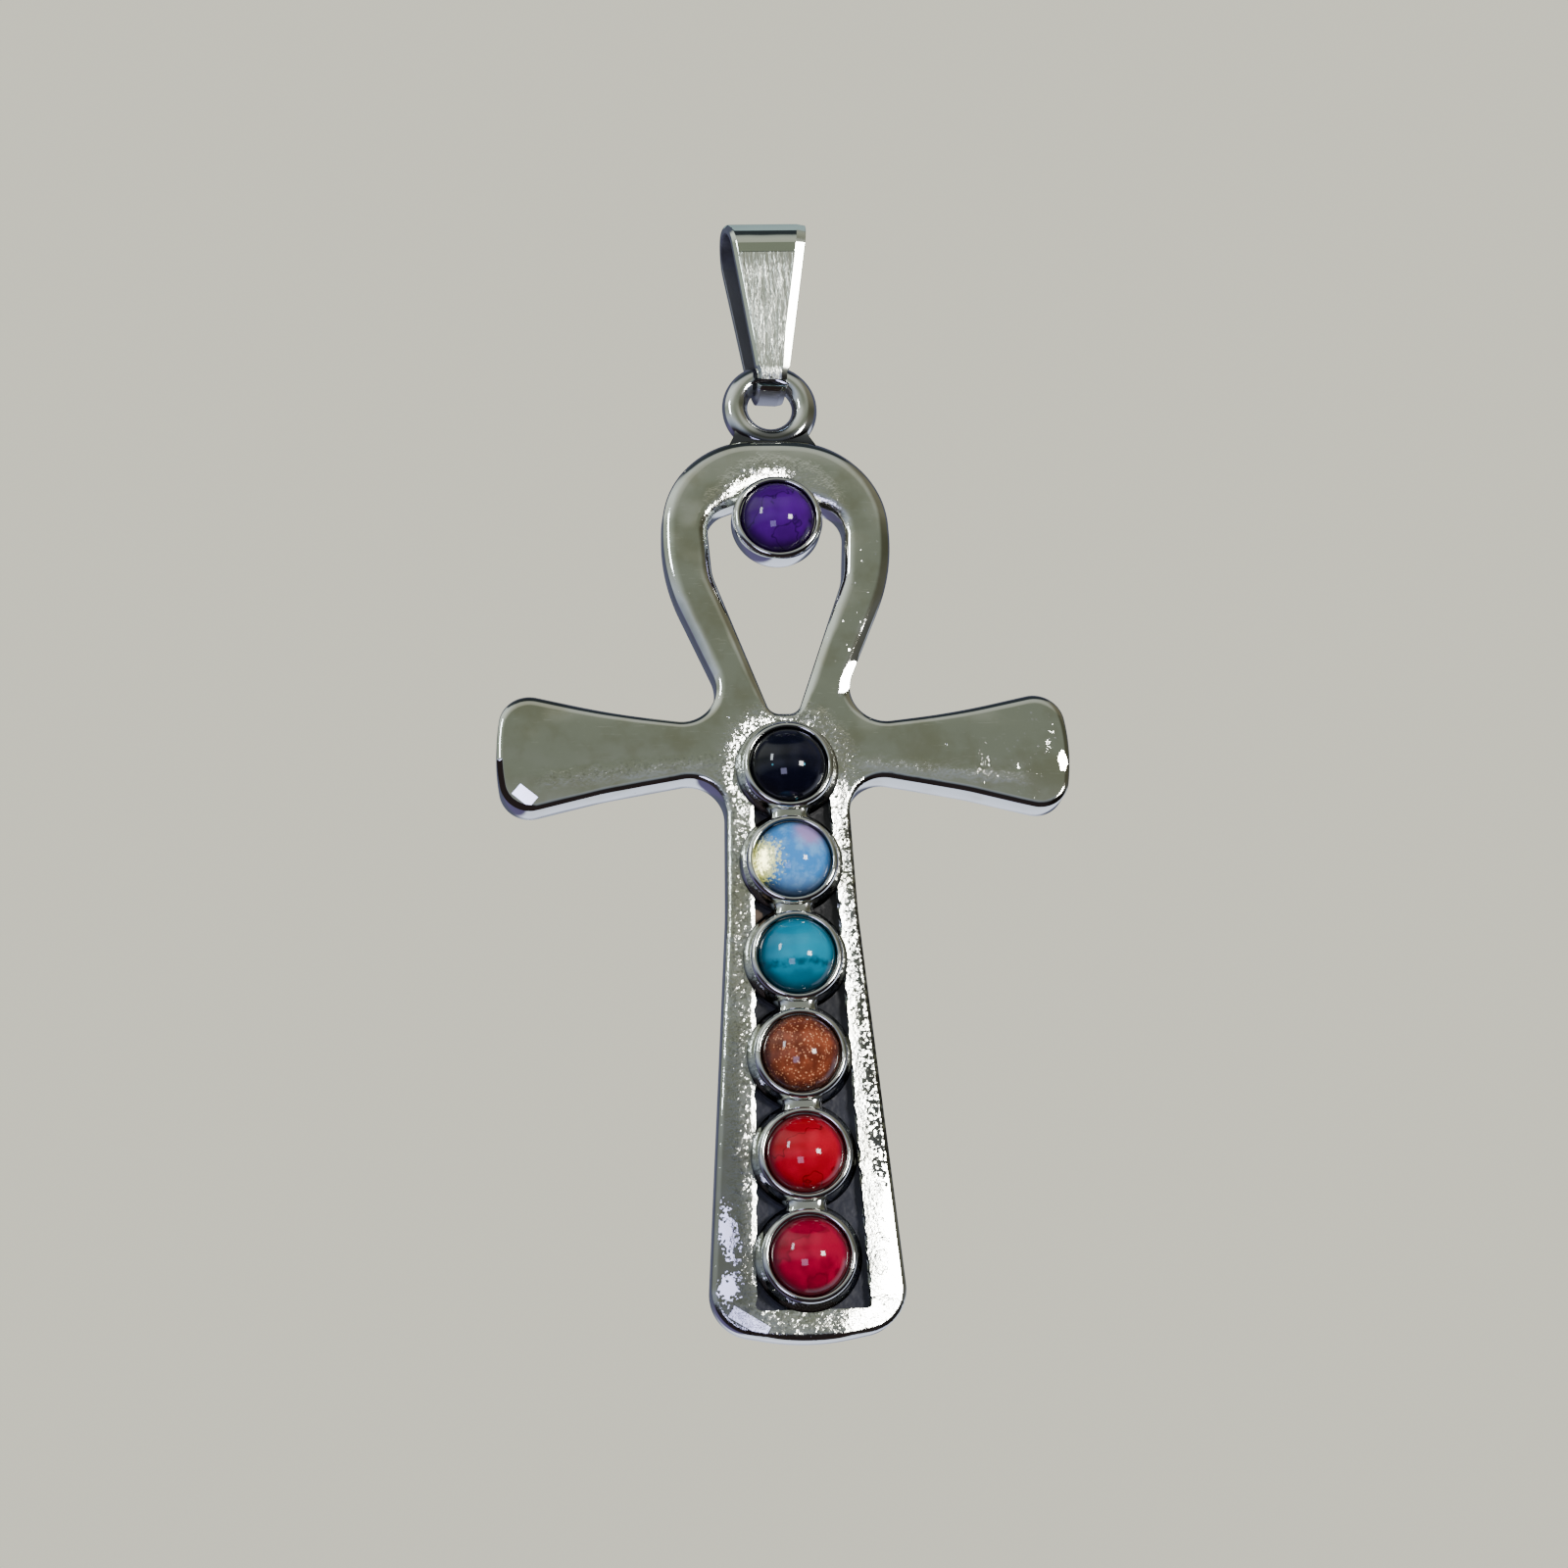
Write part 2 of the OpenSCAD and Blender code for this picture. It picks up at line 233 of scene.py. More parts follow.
def new_material(name, **values):
    """A material with one principled shader, whose constant sockets are set here."""
    material = bpy.data.materials.new(name)
    material.use_nodes = True
    shader = material.node_tree.nodes["Principled BSDF"]
    for socket, value in values.items():
        shader.inputs[socket.replace("_", " ")].default_value = value
    return material, material.node_tree, shader


def node(tree, kind, wires=None, **settings):
    """Adds a shader node. A wire is a socket to link from, or a value."""
    made = tree.nodes.new("ShaderNode" + kind)
    for key, value in settings.items():
        setattr(made, key, value)
    for key, value in (wires or {}).items():
        if isinstance(value, bpy.types.NodeSocket):
            tree.links.new(value, made.inputs[key])
        else:
            made.inputs[key].default_value = value
    return made


def maths(tree, operation, a, b=0.0, c=0.0):
    return node(tree, "Math", {0: a, 1: b, 2: c}, operation=operation).outputs[0]


def minus(tree, a, b):
    return maths(tree, "SUBTRACT", a, b)


def scaled(tree, value, by, plus=0.0):
    return maths(tree, "MULTIPLY_ADD", value, by, plus)


def product(tree, values):
    found = values[0]
    for value in values[1:]:
        found = maths(tree, "MULTIPLY", found, value)
    return found


def greatest(tree, values):
    found = values[0]
    for value in values[1:]:
        found = maths(tree, "MAXIMUM", found, value)
    return found


def ramp(tree, value, low, high, to_low=0.0, to_high=1.0):
    """A smooth step of a value from one level to another."""
    made = node(tree, "MapRange", {"Value": value, "From Min": low, "From Max": high,
                                   "To Min": to_low, "To Max": to_high}, interpolation_type="SMOOTHSTEP")
    return made.outputs["Result"]


def band(tree, value, rise, fall):
    """A soft band: a smooth step up, and one that falls again further on."""
    return product(tree, [ramp(tree, value, *rise), ramp(tree, value, *fall)])


def blend(tree, share, first, second):
    wires = {"Fac": share, "Color1": first, "Color2": second}
    return node(tree, "MixRGB", wires).outputs["Color"]


def split(tree, vector):
    return node(tree, "SeparateXYZ", {"Vector": vector}).outputs


def place(tree, centre=(0, 0, 0)):
    """Object coordinates in millimetres about a centre, which is given in millimetres too."""
    coords = node(tree, "TexCoord").outputs["Object"]
    wires = {"Vector": coords, "Location": tuple(-c for c in centre), "Scale": (1 / MM,) * 3}
    return node(tree, "Mapping", wires).outputs["Vector"]


def noise_of(tree, vector, scale, detail=2.0, rough=0.5):
    wires = {"Vector": vector, "Scale": scale, "Detail": detail, "Roughness": rough}
    return node(tree, "TexNoise", wires).outputs["Fac"]


def cells_of(tree, vector, scale):
    """Small cells: the distance from each one's middle, and three chances that it keeps all over."""
    made = node(tree, "TexVoronoi", {"Vector": vector, "Scale": scale, "Randomness": 1.0}).outputs
    return made["Distance"], node(tree, "SeparateColor", {"Color": made["Color"]}).outputs


# Surface wear that both steels share: faint waves of the polishing wheel and fine scratches
wear = bpy.data.node_groups.new("polished_wear", "ShaderNodeTree")
wear.interface.new_socket("Place", in_out="INPUT", socket_type="NodeSocketVector")
wear.interface.new_socket("Scratches", in_out="INPUT", socket_type="NodeSocketFloat")
wear.interface.new_socket("Height", in_out="OUTPUT", socket_type="NodeSocketFloat")
wear.interface.new_socket("Haze", in_out="OUTPUT", socket_type="NodeSocketFloat")
inputs = wear.nodes.new("NodeGroupInput").outputs
outputs = wear.nodes.new("NodeGroupOutput").inputs
turned = node(wear, "Mapping", {"Vector": inputs["Place"], "Rotation": (0, 0.9, 0),
                                "Scale": (0.5, 1, 9)}).outputs["Vector"]
lines = ramp(wear, noise_of(wear, turned, 1.6, 3.0, 0.6), 0.64, 0.72)
lines = product(wear, [lines, inputs["Scratches"]])
waves = noise_of(wear, inputs["Place"], 0.35, 1.0)
height = scaled(wear, waves, 0.10, product(wear, [lines, -0.0006]))
middle_d, chances = cells_of(wear, inputs["Place"], 1.1)
few = product(wear, [ramp(wear, chances["Red"], 0.72, 0.74), inputs["Scratches"]])
specks = product(wear, [ramp(wear, middle_d, 0.09, 0.03, 0.0, -0.02), few])
wear.links.new(maths(wear, "ADD", height, specks), outputs["Height"])
haze = product(wear, [noise_of(wear, inputs["Place"], 1.1, 4), 0.3])
wear.links.new(scaled(wear, lines, 0.6, haze), outputs["Haze"])


def worn_by(tree, at, scratches):
    return node(tree, "Group", {"Place": at, "Scratches": scratches}, node_tree=wear).outputs


def raise_surface(tree, shader, height, **wires):
    """Raises a surface by a height in millimetres."""
    bump = node(tree, "Bump", {"Height": height, "Strength": 1.0, "Distance": MM, **wires})
    tree.links.new(bump.outputs["Normal"], shader.inputs["Normal"])


def distance_to(tree, vector, x, low_z, high_z):
    """Distance in the plate's plane from an upright line between two heights, or from a point."""
    parts = split(tree, vector)
    along = node(tree, "Clamp", {"Value": parts["Z"], "Min": low_z, "Max": high_z}).outputs[0]
    side = minus(tree, parts["X"], x)
    up = minus(tree, parts["Z"], along)
    squares = maths(tree, "ADD", product(tree, [side, side]), product(tree, [up, up]))
    return maths(tree, "SQRT", squares)


PATCH_DEPTH = 100


def patch(tree, at, rag, x, z, half_x, half_z, turn=0.0, soft=0.15, square=False):
    """A ragged oval or square patch on the plate's face, turned clockwise by some degrees."""
    wires = {"Vector": at, "Location": (x, 0, z), "Rotation": (0, math.radians(turn), 0),
             "Scale": (half_x, PATCH_DEPTH, half_z)}
    local = node(tree, "Mapping", wires, vector_type="TEXTURE").outputs["Vector"]
    if square:
        sides = split(tree, local)
        away = greatest(tree, [maths(tree, "ABSOLUTE", sides["X"]), maths(tree, "ABSOLUTE", sides["Z"])])
    else:
        away = node(tree, "VectorMath", {0: local}, operation="LENGTH").outputs["Value"]
    return ramp(tree, maths(tree, "ADD", away, rag), 1 + soft, 1 - soft)


def turned_to(tree, normal, mask, other):
    """Turns a normal towards another one, by a mask."""
    mixed = node(tree, "Mix", {0: mask, 4: normal, 5: other}, data_type="VECTOR").outputs[1]
    return node(tree, "VectorMath", {0: mixed}, operation="NORMALIZE").outputs["Vector"]


# The worn flats are a little hollow: with each millimetre to the right or up, how much less they lean
# that way
HOLLOW = (-0.004, 0, -0.0043)


def leaning(tree, normal, at, mask, lean):
    """Turns a normal towards a lean of the plate's face, by a mask."""
    facet = node(tree, "VectorMath", {0: at, 1: HOLLOW, 2: lean}, operation="MULTIPLY_ADD").outputs["Vector"]
    facet = node(tree, "VectorTransform", {"Vector": facet}, vector_type="NORMAL",
                 convert_from="OBJECT", convert_to="WORLD").outputs["Vector"]
    facet = node(tree, "VectorMath", {0: facet}, operation="NORMALIZE").outputs["Vector"]
    return turned_to(tree, normal, mask, facet)


# Cast and polished steel. The grain of the casting stays round the bezels, along the rails and on
# the foot. The wheel has worn flats, which lean to the right round the stones and on the rails, and
# downwards at the left corners. A lean is the way a flat faces: how far right, back and up.
RIGHT_LEAN = (0.236, -1, -0.142)
LOW_LEAN = (-0.197, -1, -0.346)
EDGE_LEAN = (0.1, -1, -0.75)
CLEAR_STEEL = (0.64, 0.66, 0.62, 1)
DULL_STEEL = (0.54, 0.54, 0.46, 1)
SHADED_STEEL = (0.16, 0.16, 0.17, 1)
PIT_BLACK = (0.07, 0.07, 0.07, 1)

# Marks on the face, from the middle of the arms: x, z, half width, half height, turn in degrees and
# how softly they end
NICKED_LEG = (4.3, 8.6, 1.2, 4.0, 8)
NICKED_TIP = (12.2, -0.2, 1.5, 2.2)
SCUFFED = [(9.9, -0.7, 0.35, 1.6), (12.4, -0.9, 0.9, 0.45), (12.0, -2.2, 0.8, 0.5), (13.3, 0.9, 0.35, 1.3)]
LEG_FLAT = (3.38, 4.0, 0.38, 1.15, 28, 0.25)
TIP_FLAT = (13.95, -0.6, 0.24, 0.55)
CORNER_FLATS = [(-13.0, -2.2, 0.56, 0.34, 40), (-2.9, -28.1, 1.0, 0.30, 32)]
CHIPPED_FLATS = [(-3.72, -24.0, 0.42, 1.15, -8), (-3.85, -26.55, 0.50, 0.60, 30)]

steel, tree, shader = new_material("cast_steel", Metallic=1.0)
at = place(tree, (0, 0, ARMS_Z))
parts = split(tree, at)

# Two masks: the front with its rolled edges, and the flat of it alone
facing = minus(tree, 0.0, split(tree, node(tree, "TexCoord").outputs["Normal"])["Y"])
front = ramp(tree, facing, 0.3, 0.6)
flat = ramp(tree, facing, 0.94, 0.985)

# Where the grain is: near the stones, in a streak along the arms, and on the foot
row_d = distance_to(tree, at, 0.1, ROW_Z[-1], ROW_Z[0])
loop_d = distance_to(tree, at, 0, LOOP_STONE_Z, LOOP_STONE_Z)
near = maths(tree, "MINIMUM", row_d, loop_d)
ragged_d = scaled(tree, noise_of(tree, at, 1.3, 4.0, 0.75), 1.6, minus(tree, near, 0.8))
grain = product(tree, [ramp(tree, ragged_d, 3.9, 2.9), front])
reach = maths(tree, "ABSOLUTE", parts["X"])
streak = maths(tree, "ABSOLUTE", maths(tree, "ADD", parts["Z"], scaled(tree, reach, 0.10, 0.15)))
streak = scaled(tree, noise_of(tree, at, 1.6, 2.0), 0.9, minus(tree, streak, 0.3))
streak = product(tree, [ramp(tree, streak, 0.75, 0.2), ramp(tree, reach, 13.0, 11.5)])
foot_grain = product(tree, [band(tree, parts["Z"], (-28.95, -28.7), (-26.8, -27.4)), front])
grained = greatest(tree, [grain, product(tree, [streak, front, 0.6]), foot_grain])
fine = noise_of(tree, at, 6.5, 2.0, 0.6)
coarse = noise_of(tree, at, 1.6, 1.0, 0.5)
pits = product(tree, [scaled(tree, fine, 0.016, product(tree, [coarse, 0.03])), grained])
moat = product(tree, [ramp(tree, near, BEZEL_R - 0.1, BEZEL_R + 1.2, -0.06, 0.0), front])

# How far each flat leans: both rails, the lip at the channel's left edge, the face round the first
# stone, an arc over the loop's stone, and the foot
rag = scaled(tree, noise_of(tree, at, 2.6, 4.0, 0.7), 1.6, -0.8)
small_rag = product(tree, [rag, 0.4])
below_arm = greatest(tree, [ramp(tree, parts["X"], 3.4, 2.9), ramp(tree, parts["Z"], -3.0, -4.0)])
right_rail = product(tree, [band(tree, parts["X"], (1.75, 2.1), (5.0, 4.4)), below_arm,
                            ramp(tree, parts["Z"], 0.0, -2.2),
                            ramp(tree, parts["Z"], -12.0, -24.0, 0.9, 1.9)])
up_left = scaled(tree, parts["X"], -0.75, product(tree, [parts["Z"], 0.66]))
first_d = scaled(tree, rag, 0.7, distance_to(tree, at, 0, -ROW_DROP, -ROW_DROP))
by_first = product(tree, [ramp(tree, first_d, 4.5, 2.3), ramp(tree, up_left, -0.8, 2.4, 0.42, 0.66)])
left_rail = product(tree, [ramp(tree, scaled(tree, rag, 0.5, parts["X"]), -3.4, -2.0, 0.25, 1.0),
                           ramp(tree, parts["X"], -1.4, -1.6), ramp(tree, parts["Z"], 0.5, -1.5),
                           ramp(tree, parts["Z"], -9.0, -2.0, 0.26, 0.60)])
left_lip = scaled(tree, rag, 0.28, scaled(tree, parts["Z"], -0.0335, parts["X"]))
left_lip = product(tree, [ramp(tree, left_lip, -1.84, -1.76, 0.0, 1.5), ramp(tree, parts["X"], -1.2, -1.4),
                          band(tree, parts["Z"], (-26.6, -26.0), (-2.0, -3.5))])
arc = scaled(tree, parts["X"], -0.72, scaled(tree, parts["Z"], 0.69, -0.69 * LOOP_STONE_Z))
arc = product(tree, [ramp(tree, scaled(tree, rag, 0.9, loop_d), 3.6, 2.4, 0.0, 1.1),
                     ramp(tree, arc, 0.3, 2.2)])
foot_rail = product(tree, [ramp(tree, parts["Z"], -27.4, -27.8), ramp(tree, parts["X"], 0.4, 3.4, 0.28, 1.7)])
leans = greatest(tree, [right_rail, by_first, left_rail, left_lip, arc, foot_rail,
                        product(tree, [streak, 0.30])])

# The grain is small facets, each tipped its own way: more of them shine where a flat leans more. The
# outer half of the right rail has dark holes between them.
_, tips = cells_of(tree, at, 8.0)
outer_right = scaled(tree, parts["Z"], 0.03, parts["X"])
outer_right = product(tree, [ramp(tree, outer_right, 2.15, 2.85), ramp(tree, parts["X"], 5.0, 4.4), front,
                             band(tree, parts["Z"], (-24.5, -20.0), (-2.0, -4.0))])
holes = scaled(tree, noise_of(tree, at, 3.2, 2.0, 0.6), 1.3, minus(tree, tips["Blue"], 0.65))
holes = product(tree, [ramp(tree, scaled(tree, outer_right, 0.66, holes), 0.92, 1.02), outer_right])
leans = product(tree, [leans, minus(tree, 1.0, holes)])
tipped_by = scaled(tree, fine, 0.5, minus(tree, tips["Red"], 0.25))
shining = ramp(tree, minus(tree, leans, tipped_by), -0.06, 0.06)
shining = product(tree, [shining, scaled(tree, leans, 0.7, 0.28)])
leans = node(tree, "Mix", {0: grained, 2: leans, 3: shining}).outputs[0]
leans = product(tree, [node(tree, "Clamp", {"Value": leans}).outputs[0], flat])

# Nicks are bright specks on the loop's right leg and on the arms, and scuffs are thin lines at the
# right tip. Two flats low on the left are chipped, and the edge of the left tip turns down.
middle_d, chances = cells_of(tree, at, 4.2)
nicks = product(tree, [ramp(tree, scaled(tree, rag, 0.35, middle_d), 0.38, 0.28, 0.0, 0.8),
                       ramp(tree, chances["Green"], 0.78, 0.80)])
nicked = greatest(tree, [patch(tree, at, rag, *NICKED_LEG), product(tree, [streak, 0.7]),
                         product(tree, [patch(tree, at, rag, *NICKED_TIP), 0.72])])
wander = maths(tree, "ABSOLUTE", minus(tree, noise_of(tree, at, 2.6, 2.0, 0.6), 0.5))
scuffs = product(tree, [ramp(tree, wander, 0.010, 0.003, 0.0, 0.75),
                        greatest(tree, [patch(tree, at, rag, *area) for area in SCUFFED]),
                        ramp(tree, noise_of(tree, at, 3.0, 2.0), 0.42, 0.58)])
marks = product(tree, [greatest(tree, [product(tree, [nicks, nicked]), scuffs]), flat])
edge_flats = greatest(tree, [patch(tree, at, small_rag, *LEG_FLAT), patch(tree, at, rag, *TIP_FLAT)])
leans = greatest(tree, [leans, marks, product(tree, [edge_flats, front])])
chipped = scaled(tree, tips["Green"], 1.1, minus(tree, rag, 0.55))
low_left = [patch(tree, at, 0.0, *area, soft=0.04, square=True) for area in CORNER_FLATS]
low_left += [patch(tree, at, chipped, *area) for area in CHIPPED_FLATS]
low_left = product(tree, [greatest(tree, low_left), flat])
left_edge = product(tree, [band(tree, facing, (0.35, 0.5), (0.998, 0.985)),
                           ramp(tree, parts["X"], -12.4, -13.0), ramp(tree, parts["Z"], -0.2, -0.5)])
normal = node(tree, "NewGeometry").outputs["Normal"]
for mask, lean in ((leans, RIGHT_LEAN), (low_left, LOW_LEAN), (left_edge, EDGE_LEAN)):
    normal = leaning(tree, normal, at, mask, lean)

worn = worn_by(tree, at, 1.0)
relief = maths(tree, "ADD", maths(tree, "ADD", pits, moat), worn["Height"])
raise_surface(tree, shader, relief, Normal=normal)
rough = scaled(tree, grained, 0.10, scaled(tree, worn["Haze"], 0.06, 0.05))
tree.links.new(rough, shader.inputs["Roughness"])
dull = ramp(tree, noise_of(tree, at, 0.45, 3.0, 0.6), 0.42, 0.7)
tint = blend(tree, dull, CLEAR_STEEL, DULL_STEEL)
low_shade = product(tree, [ramp(tree, parts["Z"], -9.0, -22.0),
                           ramp(tree, parts["X"], -1.9, -3.3, 0.0, 0.6), front])
tint = blend(tree, low_shade, tint, SHADED_STEEL)
pitted = scaled(tree, noise_of(tree, at, 4.0, 2.0, 0.6), 1.2, minus(tree, tips["Blue"], 0.6))
pitted = product(tree, [ramp(tree, pitted, 0.70, 0.80, 0.0, 0.85), grained,
                        ramp(tree, parts["X"], 1.6, 1.2, 0.0, 0.42)])
pitted = greatest(tree, [pitted, product(tree, [holes, 0.8])])
tree.links.new(blend(tree, pitted, tint, PIT_BLACK), shader.inputs["Base Color"])
plate.data.materials.append(steel)


# Bezels: seven round cups of the same casting, each with a rounded lip that leans in over its stone.
# Six stand in the channel on feet that spread, and are joined by short cast webs. One hangs in the
# opening from the top of the loop, and has a round foot.
LIP_R = 1.93
CREST_R = 2.05
SEAT = 0.83


def turned_solid(bm, profile, z):
    """Spins a profile of (radius, y) points about the axis of a stone at a height."""
    verts = [bm.verts.new((r, y, z)) for r, y in profile]
    edges = [bm.edges.new(pair) for pair in zip(verts, verts[1:])]
    bmesh.ops.spin(bm, geom=verts + edges, cent=(0, 0, z), axis=(0, 1, 0), dvec=(0, 0, 0),
                   angle=2 * math.pi, steps=96, space=Matrix(), use_merge=True)


# The bezels, the webs and the eye are polished all over. Painted shade darkens the feet of the row's
# bezels and the crease under the eye. The heights are in the frame.
SHADE_FROM_Z = (-22.0, -24.0)
CREASE_Z = ((-13.2, -12.6), (-10.9, -11.5))
PAINTED_SHADE = (0.05, 0.05, 0.06, 1)
POLISHED = (0.66, 0.67, 0.65, 1)

bright_steel, tree, shader = new_material("polished_steel", Metallic=1.0)
at = place(tree)
parts = split(tree, at)
# Painted shade: darker at the feet of the row's bezels and in the crease under the eye
deep = ramp(tree, parts["Y"], FRONT_Y - 0.2, FRONT_Y - 0.02)
painted_shade = greatest(tree, [product(tree, [deep, ramp(tree, parts["Z"], *SHADE_FROM_Z), 0.8]),
                       product(tree, [band(tree, parts["Z"], *CREASE_Z), 0.85])])
tree.links.new(blend(tree, painted_shade, POLISHED, PAINTED_SHADE), shader.inputs["Base Color"])
worn = worn_by(tree, at, 0.0)
raise_surface(tree, shader, worn["Height"])
tree.links.new(scaled(tree, worn["Haze"], 0.1, 0.08), shader.inputs["Roughness"])

# A lip from its inner edge over the crest to the wall: how far out from the crest, and how deep
LIP = [(-0.12, 0.20), (-0.12, 0.10), (-0.085, 0.035), (-0.03, 0.004), (0.03, 0.004), (0.09, 0.03),
       (0.15, 0.08), (0.20, 0.16), (0.24, 0.27), (0.27, 0.40)]
LIP = [(CREST_R + out, RIM_Y + deep) for out, deep in LIP]
SEAT_LINE = [(0, RIM_Y + SEAT), (LIP_R, RIM_Y + SEAT)]
ROW_FOOT = [(2.37, RIM_Y + 0.58), (2.44, FRONT_Y - 0.18), (2.52, FRONT_Y - 0.07), (2.57, FRONT_Y),
            (2.57, -0.3), (0, -0.3)]
CUP_FOOT = [(2.31, RIM_Y + 0.7), (2.32, RIM_Y + 1.2), (2.25, RIM_Y + 1.42), (2.10, RIM_Y + 1.55),
            (1.9, RIM_Y + 1.6), (0, RIM_Y + 1.6)]
for label, places, foot in (("row", ROW_Z, ROW_FOOT), ("loop", [LOOP_STONE_Z], CUP_FOOT)):
    bm = bmesh.new()
    for z in places:
        turned_solid(bm, SEAT_LINE + LIP + foot, z)
    bezels = new_piece(bm, label + "_bezels", "ankh", ARMS_Z)
    bezels.data.materials.append(bright_steel)

# Webs: short blocks of the same casting that join the row's bezels, each with a waist and a front
# that is rounded down to its sides
HALF_WEB_W = 0.92
WEB_FLARE = 0.6
HALF_WEB_L = 0.72
WEB_Y = RIM_Y + 0.80
HALF_WEB_T = 0.5
WEB_CROWN = 0.10
WEB_EDGE = 0.25

bm = bmesh.new()
bmesh.ops.create_cube(bm, size=2)
bmesh.ops.subdivide_edges(bm, edges=bm.edges[:], cuts=11, use_grid_fill=True)
for v in bm.verts:
    across, back, along = v.co
    rounding = (WEB_CROWN * across ** 2 + WEB_EDGE * across ** 8) * (1 - back) / 2
    v.co.x = across * (HALF_WEB_W + WEB_FLARE * along ** 2)
    v.co.y = WEB_Y + HALF_WEB_T * back + rounding
    v.co.z = HALF_WEB_L * along
first_web = bm.verts[:] + bm.edges[:] + bm.faces[:]
for upper, lower in zip(ROW_Z[1:], ROW_Z[2:]):
    copy = bmesh.ops.duplicate(bm, geom=first_web)["geom"]
    bmesh.ops.translate(bm, verts=verts_of(copy), vec=(0, 0, (upper + lower) / 2))
bmesh.ops.translate(bm, verts=verts_of(first_web), vec=(0, 0, (ROW_Z[0] + ROW_Z[1]) / 2))
webs = new_piece(bm, "webs", "ankh", ARMS_Z)
webs.data.materials.append(bright_steel)


# Eye: a round ring of the same casting. It stands on top of the loop on a short neck that spreads
# towards the loop, thin at the ring and thick at the foot.
EYE_R = 1.82
WIRE_R = 0.66
WIRE_DEPTH = 0.60
EYE_Z = LOOP_H + 2.05

bm = bmesh.new()
section = bmesh.ops.create_circle(bm, cap_ends=False, segments=24, radius=WIRE_R)["verts"]
bmesh.ops.scale(bm, verts=section, vec=(1, WIRE_DEPTH / WIRE_R, 1))
bmesh.ops.translate(bm, verts=section, vec=(EYE_R, 0, 0))
bmesh.ops.spin(bm, geom=bm.verts[:] + bm.edges[:], cent=(0, 0, 0), axis=(0, 1, 0), dvec=(0, 0, 0),
               angle=2 * math.pi, steps=96, space=Matrix(), use_merge=True)
bmesh.ops.translate(bm, verts=bm.verts, vec=(0, 0, EYE_Z))
eye = new_piece(bm, "eye", "ankh", ARMS_Z)
eye.data.materials.append(bright_steel)

NECK = [(-1.85, 1.3, 0.2), (-0.9, 0.55, 0.4), (0.9, 0.55, 0.4), (1.85, 1.3, 0.2), (1.92, 0.45, 0.9),
        (2.35, -0.5, 0.2), (-2.35, -0.5, 0.2), (-1.92, 0.45, 0.9)]
HALF_NECK_T = 0.30
NECK_SPREAD = 0.42
SPREAD_FROM = LOOP_H + 0.9
SPREAD_OVER = 1.1

bm = bmesh.new()
rounded_outline(bm, [(x, LOOP_H + z, r) for x, z, r in NECK], 0)
bmesh.ops.contextual_create(bm, geom=bm.edges[:])
raised = bmesh.ops.extrude_face_region(bm, geom=bm.faces[:])
bmesh.ops.translate(bm, verts=verts_of(raised["geom"]), vec=(0, -1, 0))
for v in bm.verts:
    down = min(1, max(0, (SPREAD_FROM - v.co.z) / SPREAD_OVER))
    half_t = HALF_NECK_T + NECK_SPREAD * down ** 1.5
    v.co.y = half_t if v.co.y > -0.5 else -half_t
neck = new_piece(bm, "neck", "ankh", ARMS_Z)
neck.data.materials.append(bright_steel)


# Enamel: dark resin that fills the channel's floor round the bezels. Painted shade makes it nearly
# black above, and it is a dark blue grey below. A brown patch of painted light lies under the second
# bezel: x, lowest z, highest z and radius. The CAD solid is shown.
SHADED_ENAMEL_TOP = (0.004, 0.004, 0.006, 1)
ENAMEL_LOW = (0.014, 0.016, 0.034, 1)
LIGHT_PATCH = (0.16, 0.11, 0.08, 1)
LIGHT_PATCH_AT = (-1.75, -8.45, -8.3)
LIGHT_PATCH_R = 0.28

enamel, tree, shader = new_material("dark_enamel", Roughness=0.4)
at = place(tree, (0, 0, ARMS_Z))
# Painted shade darkens the enamel towards the top
tint = blend(tree, ramp(tree, split(tree, at)["Z"], -8.0, -20.0), SHADED_ENAMEL_TOP, ENAMEL_LOW)
# A brown patch of painted light on the enamel under the second bezel
light_patch = minus(tree, distance_to(tree, at, *LIGHT_PATCH_AT), LIGHT_PATCH_R)
light_patch = ramp(tree, scaled(tree, noise_of(tree, at, 4.0, 2.0), 0.3, light_patch), 0.2, 0.1)
tree.links.new(blend(tree, light_patch, tint, LIGHT_PATCH), shader.inputs["Base Color"])
raise_surface(tree, shader, noise_of(tree, at, 1.5, 2.0), Distance=0.05 * MM)
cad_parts["channel_enamel"].data.materials.clear()
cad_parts["channel_enamel"].data.materials.append(enamel)


# Cabochons: seven round stones with one size of dome, ground and polished, glued into the bezels.
# The dark line round each is the gap between the stone and its lip, with painted shade that darkens
# the stone towards its lip.
STONE_R = 1.88
DOME_H = 1.05
GIRDLE = 0.12
CAP_H = DOME_H + GIRDLE
BALL_R = (STONE_R ** 2 + CAP_H ** 2) / (2 * CAP_H)
BACK_Y = RIM_Y + 0.80
STONE_Z = dict(zip(("purple", "black", "opal", "turquoise", "goldstone", "red", "crimson"),
                   [LOOP_STONE_Z] + ROW_Z))
# Painted shade that darkens each stone towards its lip
RIM_PAINTED_SHADE = (0.004, 0.004, 0.006, 1)


